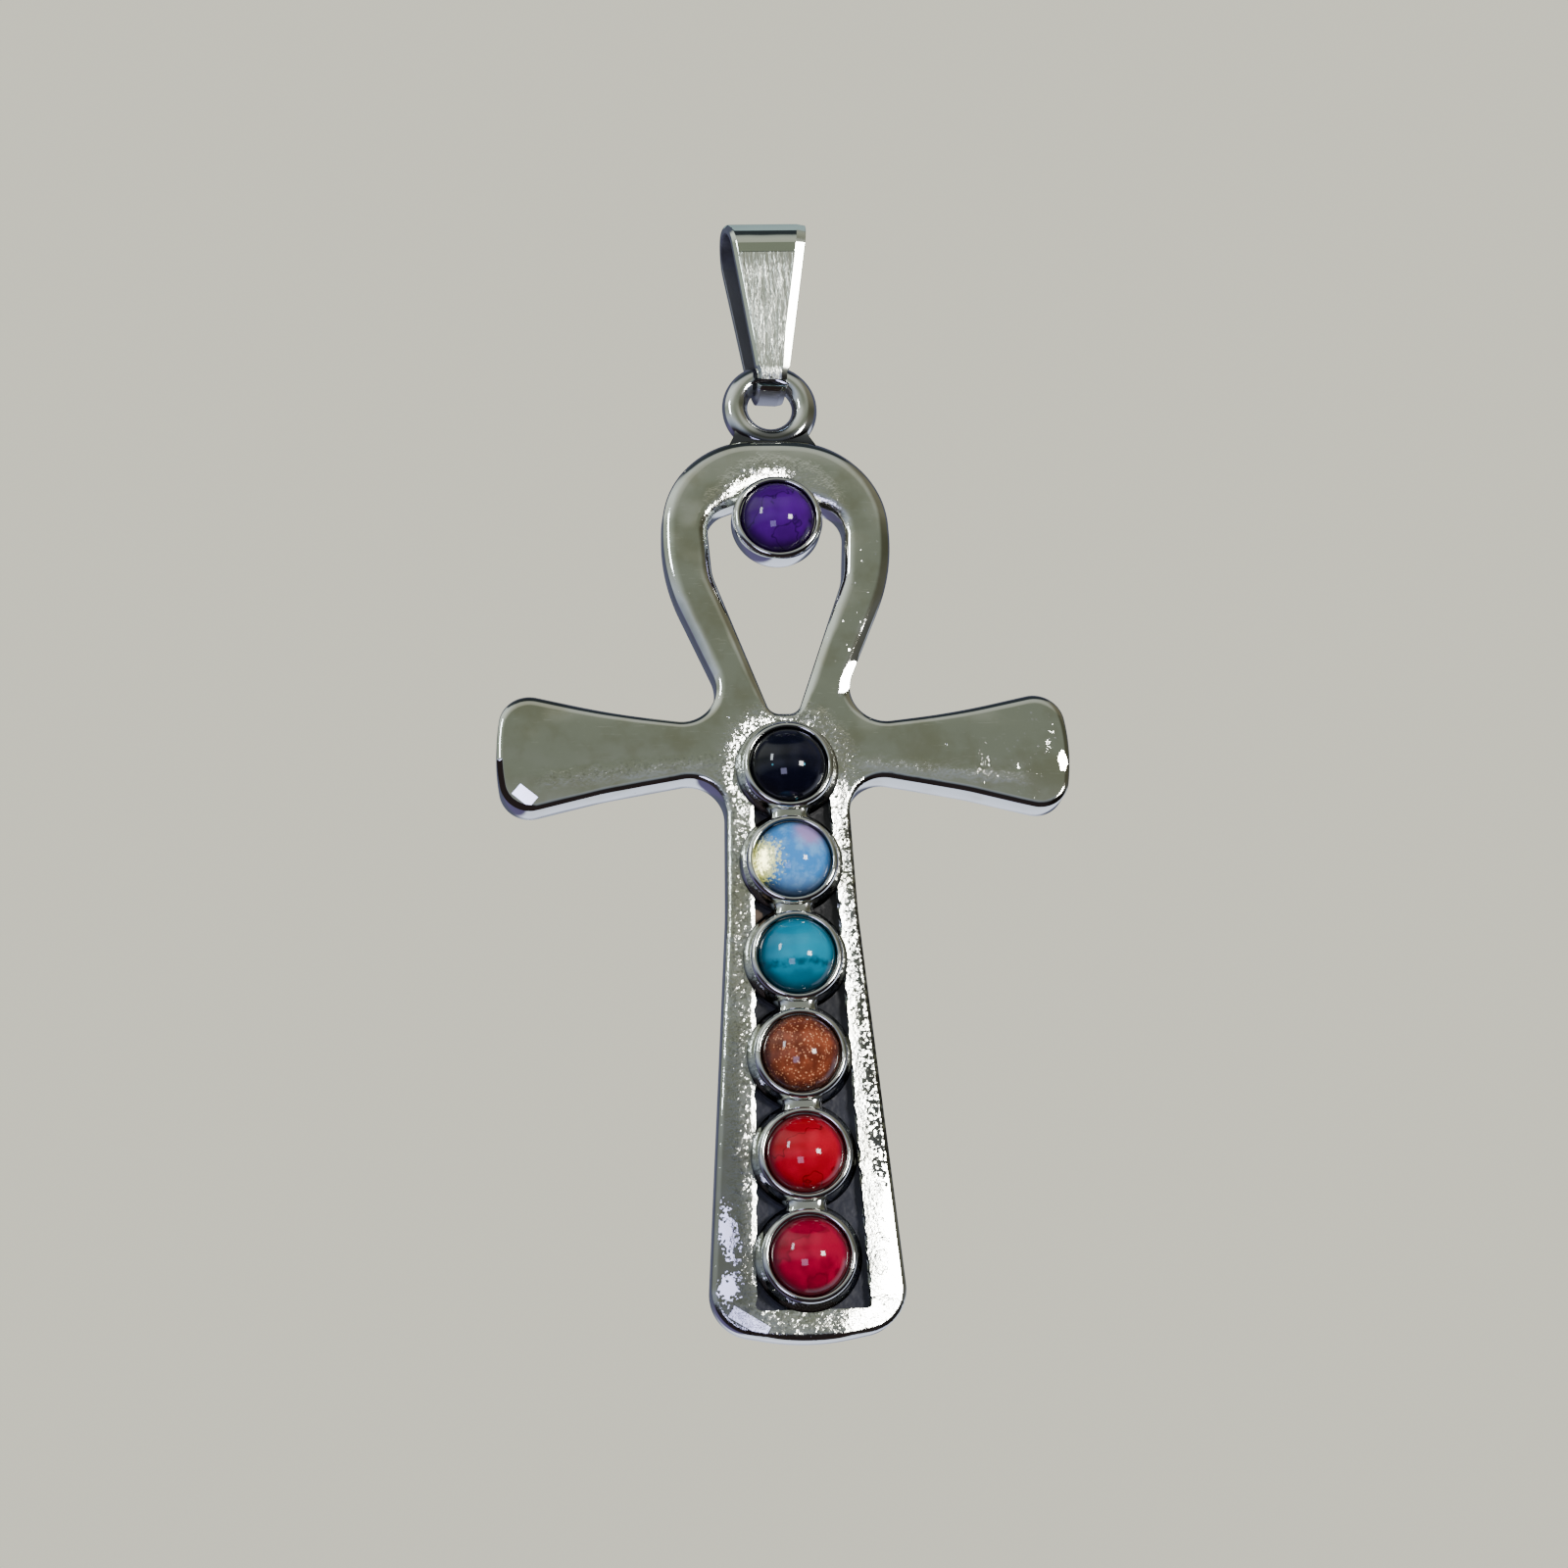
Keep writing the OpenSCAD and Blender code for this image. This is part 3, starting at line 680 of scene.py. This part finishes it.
def cabochon(slot_name, material):
    """A cabochon: an arc spun from the dome's top to the girdle, and spun again about the axis."""
    z = STONE_Z[slot_name]
    bm = bmesh.new()
    top_y = RIM_Y - DOME_H
    top = bm.verts.new((0, top_y, z))
    spun = bmesh.ops.spin(bm, geom=[top], cent=(0, top_y + BALL_R, z), axis=(0, 0, 1), dvec=(0, 0, 0),
                          angle=math.asin(STONE_R / BALL_R), steps=24, space=Matrix(), use_merge=False)
    last = verts_of(spun["geom_last"])[0]
    foot = bm.verts.new((last.co.x, BACK_Y, z))
    middle = bm.verts.new((0, BACK_Y, z))
    bm.edges.new((last, foot))
    bm.edges.new((foot, middle))
    bmesh.ops.spin(bm, geom=bm.verts[:] + bm.edges[:], cent=(0, 0, z), axis=(0, 1, 0), dvec=(0, 0, 0),
                   angle=2 * math.pi, steps=96, space=Matrix(), use_merge=True)
    stone = new_piece(bm, "cabochon_" + slot_name, "ankh", ARMS_Z)
    stone.data.materials.append(material)
    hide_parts("stone_" + slot_name)


def stone_material(slot_name):
    """A polished stone's material, and the place of its patterns about the stone's own middle."""
    material, tree, shader = new_material(slot_name + "_stone", Roughness=0.07, IOR=1.5,
                                          Specular_IOR_Level=0.36)
    return material, tree, shader, place(tree, (0, RIM_Y, ARMS_Z + STONE_Z[slot_name]))


def colour_stone(tree, shader, at, tint):
    """Gives a stone its colour, with painted shade that darkens it towards the lip."""
    parts = split(tree, at)
    flat = node(tree, "CombineXYZ", {"X": parts["X"], "Z": parts["Z"]}).outputs["Vector"]
    away = node(tree, "VectorMath", {0: flat}, operation="LENGTH").outputs["Value"]
    tint = blend(tree, ramp(tree, away, 1.35, STONE_R, 0.0, 0.85), tint, RIM_PAINTED_SHADE)
    tree.links.new(tint, shader.inputs["Base Color"])


def cloud(tree, at, scale, low, high, detail=2.0):
    return ramp(tree, noise_of(tree, at, scale, detail), low, high)


def veins(tree, vector, scale, width, depth):
    """Thin wandering lines where a noise passes through its middle level."""
    off = maths(tree, "ABSOLUTE", minus(tree, noise_of(tree, vector, scale, 3.0, 0.55), 0.5))
    return ramp(tree, off, width, 0.0, 0.0, depth)


# Purple howlite, clouded, with a few darker veins
PURPLE_DARK = (0.042, 0.000, 0.13, 1)
PURPLE_LIGHT = (0.072, 0.000, 0.22, 1)
PURPLE_VEIN = (0.008, 0.000, 0.035, 1)

material, tree, shader, at = stone_material("purple")
tint = blend(tree, cloud(tree, at, 0.6, 0.3, 0.7), PURPLE_DARK, PURPLE_LIGHT)
tint = blend(tree, veins(tree, at, 0.5, 0.02, 0.7), tint, PURPLE_VEIN)
colour_stone(tree, shader, at, tint)
cabochon("purple", material)

# Black stone, a very dark blue with a few blue-green sparks
BLACK_DARK = (0.0025, 0.003, 0.009, 1)
BLACK_LIGHT = (0.007, 0.008, 0.02, 1)
BLACK_SPARK = (0.10, 0.45, 0.60, 1)

material, tree, shader, at = stone_material("black")
tint = blend(tree, cloud(tree, at, 0.8, 0.4, 0.7, 3.0), BLACK_DARK, BLACK_LIGHT)
middle_d, chances = cells_of(tree, at, 3.2)
spark = product(tree, [ramp(tree, chances["Red"], 0.975, 0.98), ramp(tree, middle_d, 0.3, 0.12)])
colour_stone(tree, shader, at, blend(tree, spark, tint, BLACK_SPARK))
cabochon("black", material)

# Opal glass: milky sky blue, grey low down, with a pink glow on the upper right and a grainy warm
# one on the left, lit by a painted glow that is brightest at its core. Each lies at an x, and between a
# lowest and highest z.
PINK_AT = (0.75, 1.05, 1.3)
WARM_AT = (-1.5, -0.45, 0.1)
OPAL_BLUE = (0.055, 0.28, 0.74, 1)
OPAL_MILK = (0.18, 0.47, 0.92, 1)
OPAL_GREY = (0.20, 0.24, 0.34, 1)
OPAL_PINK = (0.50, 0.30, 0.62, 1)
OPAL_WARM = (0.80, 0.82, 0.42, 1)
NO_SHINE = (0, 0, 0, 1)
WARM_PAINTED_GLOW = (0.70, 0.72, 0.14, 1)
CORE_PAINTED_GLOW = (7.0, 6.8, 3.0, 1)

material, tree, shader, at = stone_material("opal")
milk = noise_of(tree, at, 1.4, 4.0, 0.65)
tint = blend(tree, ramp(tree, milk, 0.42, 0.68), OPAL_BLUE, OPAL_MILK)
warm_d = distance_to(tree, at, *WARM_AT)
grains = noise_of(tree, at, 6.0, 4.0, 0.8)
warm = ramp(tree, scaled(tree, grains, 3.2, minus(tree, warm_d, 1.5)), 0.95, 0.45, 0.0, 0.85)
core = ramp(tree, scaled(tree, grains, 1.6, minus(tree, warm_d, 0.8)), 0.36, 0.0)
tint = blend(tree, warm, tint, OPAL_WARM)
# Painted glow: the warm patch and its core glow by emission, though the stone is no lamp
shader.inputs["Emission Strength"].default_value = 1.0
painted_glow = blend(tree, warm, NO_SHINE, WARM_PAINTED_GLOW)
tree.links.new(blend(tree, core, painted_glow, CORE_PAINTED_GLOW), shader.inputs["Emission Color"])
pink_d = scaled(tree, milk, 0.8, minus(tree, distance_to(tree, at, *PINK_AT), 0.4))
tint = blend(tree, ramp(tree, pink_d, 1.0, 0.3, 0.0, 0.8), tint, OPAL_PINK)
grey = ramp(tree, minus(tree, 0.0, split(tree, at)["Z"]), 0.9, 1.8, 0.0, 0.55)
colour_stone(tree, shader, at, blend(tree, grey, tint, OPAL_GREY))
cabochon("opal", material)

# Turquoise, with a dark vein of matrix low down, and darker below it
TURQUOISE_DARK = (0.0, 0.19, 0.32, 1)
TURQUOISE_LIGHT = (0.0, 0.29, 0.46, 1)
TURQUOISE_LOW = (0.0, 0.045, 0.075, 1)
TURQUOISE_VEIN = (0.0, 0.018, 0.035, 1)

material, tree, shader, at = stone_material("turquoise")
tint = blend(tree, cloud(tree, at, 0.5, 0.3, 0.7), TURQUOISE_DARK, TURQUOISE_LIGHT)
height = maths(tree, "ADD", split(tree, at)["Z"], 0.15)
height = scaled(tree, noise_of(tree, at, 1.1, 3.0, 0.6), 0.9, height)
tint = blend(tree, ramp(tree, height, 0.1, -0.7, 0.0, 0.50), tint, TURQUOISE_LOW)
vein = product(tree, [ramp(tree, maths(tree, "ABSOLUTE", height), 0.30, 0.02),
                      ramp(tree, noise_of(tree, at, 2.0, 2.0), 0.3, 0.6, 0.15, 0.72)])
colour_stone(tree, shader, at, blend(tree, vein, tint, TURQUOISE_VEIN))
cabochon("turquoise", material)

# Goldstone: brown glass full of copper flakes, some brighter than others
GLASS_DARK = (0.125, 0.026, 0.013, 1)
GLASS_LIGHT = (0.30, 0.070, 0.032, 1)
COPPER_FLAKE = (0.80, 0.34, 0.18, 1)

material, tree, shader, at = stone_material("goldstone")
tint = blend(tree, cloud(tree, at, 1.2, 0.35, 0.7, 3.0), GLASS_DARK, GLASS_LIGHT)
middle_d, chances = cells_of(tree, at, 10.0)
flake = product(tree, [ramp(tree, chances["Green"], 0.55, 0.98), ramp(tree, middle_d, 0.55, 0.3)])
colour_stone(tree, shader, at, blend(tree, flake, tint, COPPER_FLAKE))
cabochon("goldstone", material)

# Red howlite with fine dark veins
RED_DARK = (0.34, 0.000, 0.010, 1)
RED_LIGHT = (0.52, 0.000, 0.022, 1)
RED_VEIN = (0.06, 0.0, 0.0, 1)

material, tree, shader, at = stone_material("red")
tint = blend(tree, cloud(tree, at, 0.7, 0.35, 0.7), RED_DARK, RED_LIGHT)
tint = blend(tree, veins(tree, at, 0.38, 0.010, 0.7), tint, RED_VEIN)
colour_stone(tree, shader, at, tint)
cabochon("red", material)

# Crimson stone, clouded, with broad dark veins
CRIMSON_DARK = (0.24, 0.0, 0.020, 1)
CRIMSON_LIGHT = (0.40, 0.000, 0.034, 1)
CRIMSON_VEIN = (0.05, 0.0, 0.004, 1)

material, tree, shader, at = stone_material("crimson")
tint = blend(tree, cloud(tree, at, 0.8, 0.30, 0.60), CRIMSON_DARK, CRIMSON_LIGHT)
tint = blend(tree, veins(tree, at, 0.4, 0.03, 0.35), tint, CRIMSON_VEIN)
colour_stone(tree, shader, at, tint)
cabochon("crimson", material)


# Bail: one strip of steel, folded over at the top and drawn in to a tongue that passes the eye.
# Its front is brushed between two polished bevels, and its end is cut slanting and bent in. It
# hangs a little turned on the eye.
TURN = math.radians(5)
TOP_R = 1.35
LOW_R = 1.0
STRIP_T = 0.5
LEFT_BEVEL = 0.2
RIGHT_BEVEL = 0.52
RIGHT_BEVEL_D = 0.085
FACE_EDGE = 0.6
BEVELS_FIT_W = 2.4
EDGE_BREAK = 0.035
SHARP_TURN = 0.5
BAIL_SMOOTH_ANGLE = 8
TOP_HALF = 2.33
END_HALF = 0.9
TONGUE_HALF = 0.75
TONGUE_TAPER = 0.5
PIVOT_Z = LOW_R - 8.94
LEAN = math.asin((TOP_R - LOW_R) / (-TOP_R - PIVOT_Z))
FOLD_L = (TOP_R + STRIP_T / 2) * math.pi / 2
STRAP_L = (-TOP_R - PIVOT_Z) * math.cos(LEAN)

# The front end: how far it bends in under the eye, and where and how far it is cut slanting. The
# back goes on round the eye's wire. The brushed face lies between two heights. The fold stands a
# little high, and higher on the right.
FRONT_END = math.radians(30)
BACK_END = math.radians(140)
CUT_FROM_Z = -7.4
CUT_L = 0.9
CUT_LEFT = 0.85
CUT_RIGHT = 0.22
CUT_RIGHT_FROM = 0.6
BRUSHED_Z = (-8.9, -TOP_R - 0.2)
UNDER_Z = -8.7
UNDER_Y = 0.1 - LOW_R
INSIDE_SLACK = 0.02
FOLD_RISE = 0.25
FOLD_TILT = 0.075
RISE_OVER = 6


def half_width(z):
    """Half the strip's width at a height. It tapers evenly along the strip, and round the fold."""
    if z < PIVOT_Z:
        return max(TONGUE_HALF, END_HALF + TONGUE_TAPER * (z - PIVOT_Z))
    along = min(z - PIVOT_Z, STRAP_L)
    if z > -TOP_R:
        along += FOLD_L * math.asin(min(1, (z + TOP_R) / (TOP_R + STRIP_T))) / (math.pi / 2)
    return END_HALF + (TOP_HALF - END_HALF) * along / (STRAP_L + FOLD_L)


def sweep(bm, edges, centre_z, angle, steps):
    """Carries the strip's section round a fold, and gives back the section's edges at its end."""
    verts = list({v for e in edges for v in e.verts})
    spun = bmesh.ops.spin(bm, geom=verts + edges, cent=(0, 0, centre_z), axis=(-1, 0, 0), dvec=(0, 0, 0),
                          angle=angle, steps=steps, space=Matrix(), use_merge=False)
    return [g for g in spun["geom_last"] if isinstance(g, bmesh.types.BMEdge)]


def draw_out(bm, edges, vec, steps):
    """Carries the strip's section along a straight run, in even steps."""
    for _ in range(steps):
        made = bmesh.ops.extrude_edge_only(bm, edges=edges)["geom"]
        edges = [g for g in made if isinstance(g, bmesh.types.BMEdge) and all(
            v in made for v in g.verts) and not g.is_manifold]
        bmesh.ops.translate(bm, verts=list({v for e in edges for v in e.verts}),
                            vec=Vector(vec) / steps)
    return edges


bm = bmesh.new()
section = [(-1, 0), (-1, STRIP_T - LEFT_BEVEL), (-FACE_EDGE, STRIP_T), (FACE_EDGE, STRIP_T),
           (1, STRIP_T - RIGHT_BEVEL_D), (1, 0)]
verts = [bm.verts.new((x, -LOW_R - out, PIVOT_Z)) for x, out in section]
edges = [bm.edges.new(pair) for pair in zip(verts, verts[1:] + verts[:1])]
bmesh.ops.rotate(bm, verts=verts, cent=(0, 0, PIVOT_Z), matrix=Matrix.Rotation(FRONT_END, 3, "X"))
edges = sweep(bm, edges, PIVOT_Z, FRONT_END + LEAN, 8)
front_end = set(bm.verts)
run = Vector((0, math.sin(LEAN), -math.cos(LEAN))) * -STRAP_L
edges = draw_out(bm, edges, run, 12)
edges = sweep(bm, edges, -TOP_R, math.pi - 2 * LEAN, 28)
edges = draw_out(bm, edges, (0, run.y, -run.z), 12)
sweep(bm, edges, PIVOT_Z, BACK_END + LEAN, 24)
brushed = bm.verts.layers.float.new("brushed")
hollow = bm.verts.layers.float.new("hollow")
for v in bm.verts:
    left = right = half_width(v.co.z)
    if v in front_end:
        cut_off = min(1, max(0, (CUT_FROM_Z - v.co.z) / CUT_L))
        left = left - cut_off * CUT_LEFT
        right = right - CUT_RIGHT * max(0, cut_off - CUT_RIGHT_FROM) / (1 - CUT_RIGHT_FROM)
    on_face = abs(v.co.x) < (1 + FACE_EDGE) / 2
    in_front = v.co.y < 0 and (v in front_end or v.co.z < BRUSHED_Z[1]) and v.co.z > BRUSHED_Z[0]
    v[brushed] = 1.0 if on_face and in_front else 0.0
    fits = min(1, (left + right) / BEVELS_FIT_W) if on_face else 0
    v.co.x = right - RIGHT_BEVEL * fits if v.co.x > 0 else LEFT_BEVEL * fits - left
bmesh.ops.holes_fill(bm, edges=[e for e in bm.edges if e.is_boundary], sides=0)
bmesh.ops.recalc_face_normals(bm, faces=bm.faces)

# The strip's inside, which the material darkens as painted shade: what lies within reach of the two
# folds' centre line, and the back of the bent end
for v in bm.verts:
    core_z = min(-TOP_R, max(PIVOT_Z, v.co.z))
    reach = LOW_R + (TOP_R - LOW_R) * (core_z - PIVOT_Z) / (-TOP_R - PIVOT_Z)
    away = math.hypot(v.co.y, v.co.z - core_z)
    under = v.co.z < UNDER_Z and v.co.y > UNDER_Y
    v[hollow] = 1.0 if away < reach + INSIDE_SLACK or under else 0.0
sharp = [e for e in bm.edges if e.is_manifold and e.calc_face_angle() > SHARP_TURN]
bmesh.ops.bevel(bm, geom=sharp, offset=EDGE_BREAK, affect="EDGES", segments=2, profile=0.5, material=-1)
for v in bm.verts:
    v.co.z += (FOLD_RISE + FOLD_TILT * v.co.x) * min(1, max(0, (v.co.z - PIVOT_Z) / RISE_OVER))
bmesh.ops.rotate(bm, verts=bm.verts, cent=(0, 0, 0), matrix=Matrix.Rotation(TURN, 3, "Z"))
bail = new_piece(bm, "bail_strip", "bail", smooth_angle=BAIL_SMOOTH_ANGLE)
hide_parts("bail")

# Brushed steel on the bail's face, with streaks that run down it, and polished steel beside it.
# The fold's top shines as one flat band, so its normals lean to the front there, and it is tinted
# pale blue as a painted reflection. The strip's inside is darkened as painted shade.
BRUSHED_STEEL = (0.63, 0.67, 0.60, 1)
FOLD_PAINTED_REFLECTION = (0.50, 0.68, 0.76, 1)
INSIDE_PAINTED_SHADE = (0.26, 0.26, 0.29, 1)
FOLD_LEAN = (0, -1, 0.12)

bail_steel, tree, shader = new_material("brushed_steel", Metallic=1.0)
at = place(tree)
streaks_at = node(tree, "Mapping", {"Vector": at, "Rotation": (0, 0, -TURN), "Scale": (1, 1, 0.09)})
streaks = noise_of(tree, streaks_at.outputs["Vector"], 5.0, 3.0, 0.65)
face = ramp(tree, node(tree, "Attribute", attribute_name="brushed").outputs["Fac"], 0.93, 0.995)
inside = ramp(tree, node(tree, "Attribute", attribute_name="hollow").outputs["Fac"], 0.6, 0.9)
normal = node(tree, "NewGeometry").outputs["Normal"]
turns = split(tree, normal)
bevel = band(tree, turns["X"], (0.15, 0.2), (0.6, 0.4))
fold = product(tree, [ramp(tree, turns["Z"], 0.42, 0.50, 0.0, 0.9), minus(tree, 1.0, inside)])
height = split(tree, at)["Z"]
tilt = maths(tree, "ADD", ramp(tree, height, -1.7, -2.8, 0.29, 0.165),
             ramp(tree, height, -4.6, -7.2, 0.0, 0.045))
strokes = product(tree, [face, scaled(tree, streaks, -0.5, tilt)])
dip = node(tree, "CombineXYZ", {"Z": scaled(tree, bevel, -0.19, strokes)}).outputs["Vector"]
normal = node(tree, "VectorMath", {0: normal, 1: dip}, operation="ADD").outputs["Vector"]
normal = turned_to(tree, normal, fold, FOLD_LEAN)
worn = worn_by(tree, at, 0.0)
relief = scaled(tree, product(tree, [streaks, face]), 0.12, worn["Height"])
raise_surface(tree, shader, relief, Normal=normal)
satin = greatest(tree, [face, product(tree, [bevel, 0.5]), inside])
rough = scaled(tree, inside, 0.22, scaled(tree, satin, 0.18, 0.10))
tree.links.new(rough, shader.inputs["Roughness"])
# Painted reflection on the fold's top, and painted shade inside the strip
tint = blend(tree, inside, blend(tree, fold, BRUSHED_STEEL, FOLD_PAINTED_REFLECTION), INSIDE_PAINTED_SHADE)
tree.links.new(tint, shader.inputs["Base Color"])
bail.data.materials.append(bail_steel)


# Floor: a plain sheet of pale paper that lies below the pendant. The steel doesn't mirror it. Its
# lengths are in metres.
FLOOR_SIZE = 1.2
FLOOR_Z = -0.19
PAPER = (0.80, 0.80, 0.76, 1)

bm = bmesh.new()
bmesh.ops.create_grid(bm, x_segments=1, y_segments=1, size=FLOOR_SIZE)
bmesh.ops.translate(bm, verts=bm.verts, vec=(0, 0, FLOOR_Z))
mesh = bpy.data.meshes.new("floor")
bm.to_mesh(mesh)
bm.free()
floor = bpy.data.objects.new("floor", mesh)
bpy.context.scene.collection.objects.link(floor)
paper, tree, shader = new_material("pale_paper", Base_Color=PAPER, Roughness=0.9)
floor.data.materials.append(paper)
floor.visible_glossy = False


# Light: a small hard lamp on the right, a narrow window on the left and a dim screen by the camera.
# Each is placed by its azimuth and elevation, and sized by the degrees it covers.
LAMP_D = 0.6


def lamp(name, azimuth, elevation, wide, high, power, colour):
    a, e = math.radians(azimuth), math.radians(elevation)
    way = Vector((math.sin(a) * math.cos(e), -math.cos(a) * math.cos(e), math.sin(e)))
    light = bpy.data.lights.new(name, "AREA")
    light.shape = "RECTANGLE"
    light.size = 2 * LAMP_D * math.tan(math.radians(wide / 2))
    light.size_y = 2 * LAMP_D * math.tan(math.radians(high / 2))
    light.energy = power
    light.color = colour
    made = bpy.data.objects.new(name, light)
    made.location = Vector((0, 0, ARMS_Z * MM)) + way * LAMP_D
    made.rotation_mode = "QUATERNION"
    made.rotation_quaternion = way.to_track_quat("Z", "Y")
    made.visible_camera = False
    bpy.context.scene.collection.objects.link(made)


lamp("key", 33.5, 2, 11, 11, 2.6, (1, 0.98, 0.95))
lamp("window", -47, 22, 6, 16, 0.9, (0.85, 0.93, 1))
lamp("screen", -15.5, -20, 16, 16, 0.7, (0.6, 0.6, 1))

# Sky: soft light all round in level bands, from straight below (0) to straight above (1). It is
# brighter on the left and dimmer on the right, and dark blue behind the pendant, with a bright part
# there low on the right.
BANDS = [(0.0, (0.03, 0.02, 0.02)), (0.37, (0.03, 0.025, 0.03)), (0.46, (0.24, 0.27, 0.32)),
         (0.54, (0.38, 0.41, 0.44)), (0.60, (0.32, 0.34, 0.30)), (0.655, (0.265, 0.29, 0.23)),
         (0.69, (0.27, 0.295, 0.23)), (0.75, (0.55, 0.57, 0.49)), (0.85, (0.66, 0.68, 0.60)),
         (0.91, (0.50, 0.53, 0.50)), (0.935, (0.04, 0.05, 0.06))]
ON_THE_LEFT = (1.7, 1.75, 1.85, 1)
ON_THE_RIGHT = (0.40, 0.37, 0.31, 1)
BEHIND = (0.12, 0.13, 0.20, 1)
BEHIND_LOW_RIGHT = (1.3, 1.4, 1.75, 1)
BEHIND_LOW_LEFT = (0.16, 0.14, 0.30, 1)
BACKDROP = (0.90, 0.88, 0.72, 1)

world = bpy.data.worlds.new("studio")
bpy.context.scene.world = world
world.use_nodes = True
tree = world.node_tree
way = split(tree, node(tree, "TexCoord").outputs["Generated"])
bands = node(tree, "ValToRGB", {"Fac": scaled(tree, way["Z"], 0.5, 0.5)})
elements = bands.color_ramp.elements
while len(elements) < len(BANDS):
    elements.new(0.5)
for element, (position, colour) in zip(elements, BANDS):
    element.position = position
    element.color = (*colour, 1)
sky = bands.outputs["Color"]
leftwards = ramp(tree, way["X"], -0.02, -0.55)
rightwards = ramp(tree, way["X"], 0.32, 0.62)
for share, side in ((leftwards, ON_THE_LEFT), (rightwards, ON_THE_RIGHT)):
    wires = {"Fac": share, "Color1": sky, "Color2": side}
    sky = node(tree, "MixRGB", wires, blend_type="MULTIPLY").outputs["Color"]
below = blend(tree, ramp(tree, way["X"], -0.04, -0.16), BEHIND_LOW_RIGHT, BEHIND_LOW_LEFT)
behind = blend(tree, ramp(tree, way["Z"], -0.12, 0.1), below, BEHIND)
sky = blend(tree, ramp(tree, way["Y"], -0.02, 0.22), sky, behind)
sky = blend(tree, node(tree, "LightPath").outputs["Is Camera Ray"], sky, BACKDROP)
tree.links.new(sky, tree.nodes["Background"].inputs["Color"])


# Camera: below the pendant and to its left, as the photograph was taken. It stands at a place in
# millimetres, and is turned by an azimuth, an elevation and a roll in degrees.
CAMERA_AT = Vector((-16.54, -137.43, -74.27)) * MM
CAMERA_TURN = (-6.83, -17.64, 2.46)
LENS = 66.8
SENSOR_W = 36

azimuth, elevation, roll = (math.radians(angle) for angle in CAMERA_TURN)
back = Vector((math.sin(azimuth) * math.cos(elevation), -math.cos(azimuth) * math.cos(elevation),
               math.sin(elevation)))
right = Vector((math.cos(azimuth), math.sin(azimuth), 0))
up = back.cross(right)
view_right = right * math.cos(roll) - up * math.sin(roll)
view_up = right * math.sin(roll) + up * math.cos(roll)
camera_data = bpy.data.cameras.new("camera")
camera_data.lens = LENS
camera_data.sensor_width = SENSOR_W
camera_data.clip_start = 0.01
camera = bpy.data.objects.new("camera", camera_data)
turn = Matrix((view_right, view_up, back)).transposed().to_4x4()
camera.matrix_world = Matrix.Translation(CAMERA_AT) @ turn
bpy.context.scene.collection.objects.link(camera)
bpy.context.scene.camera = camera
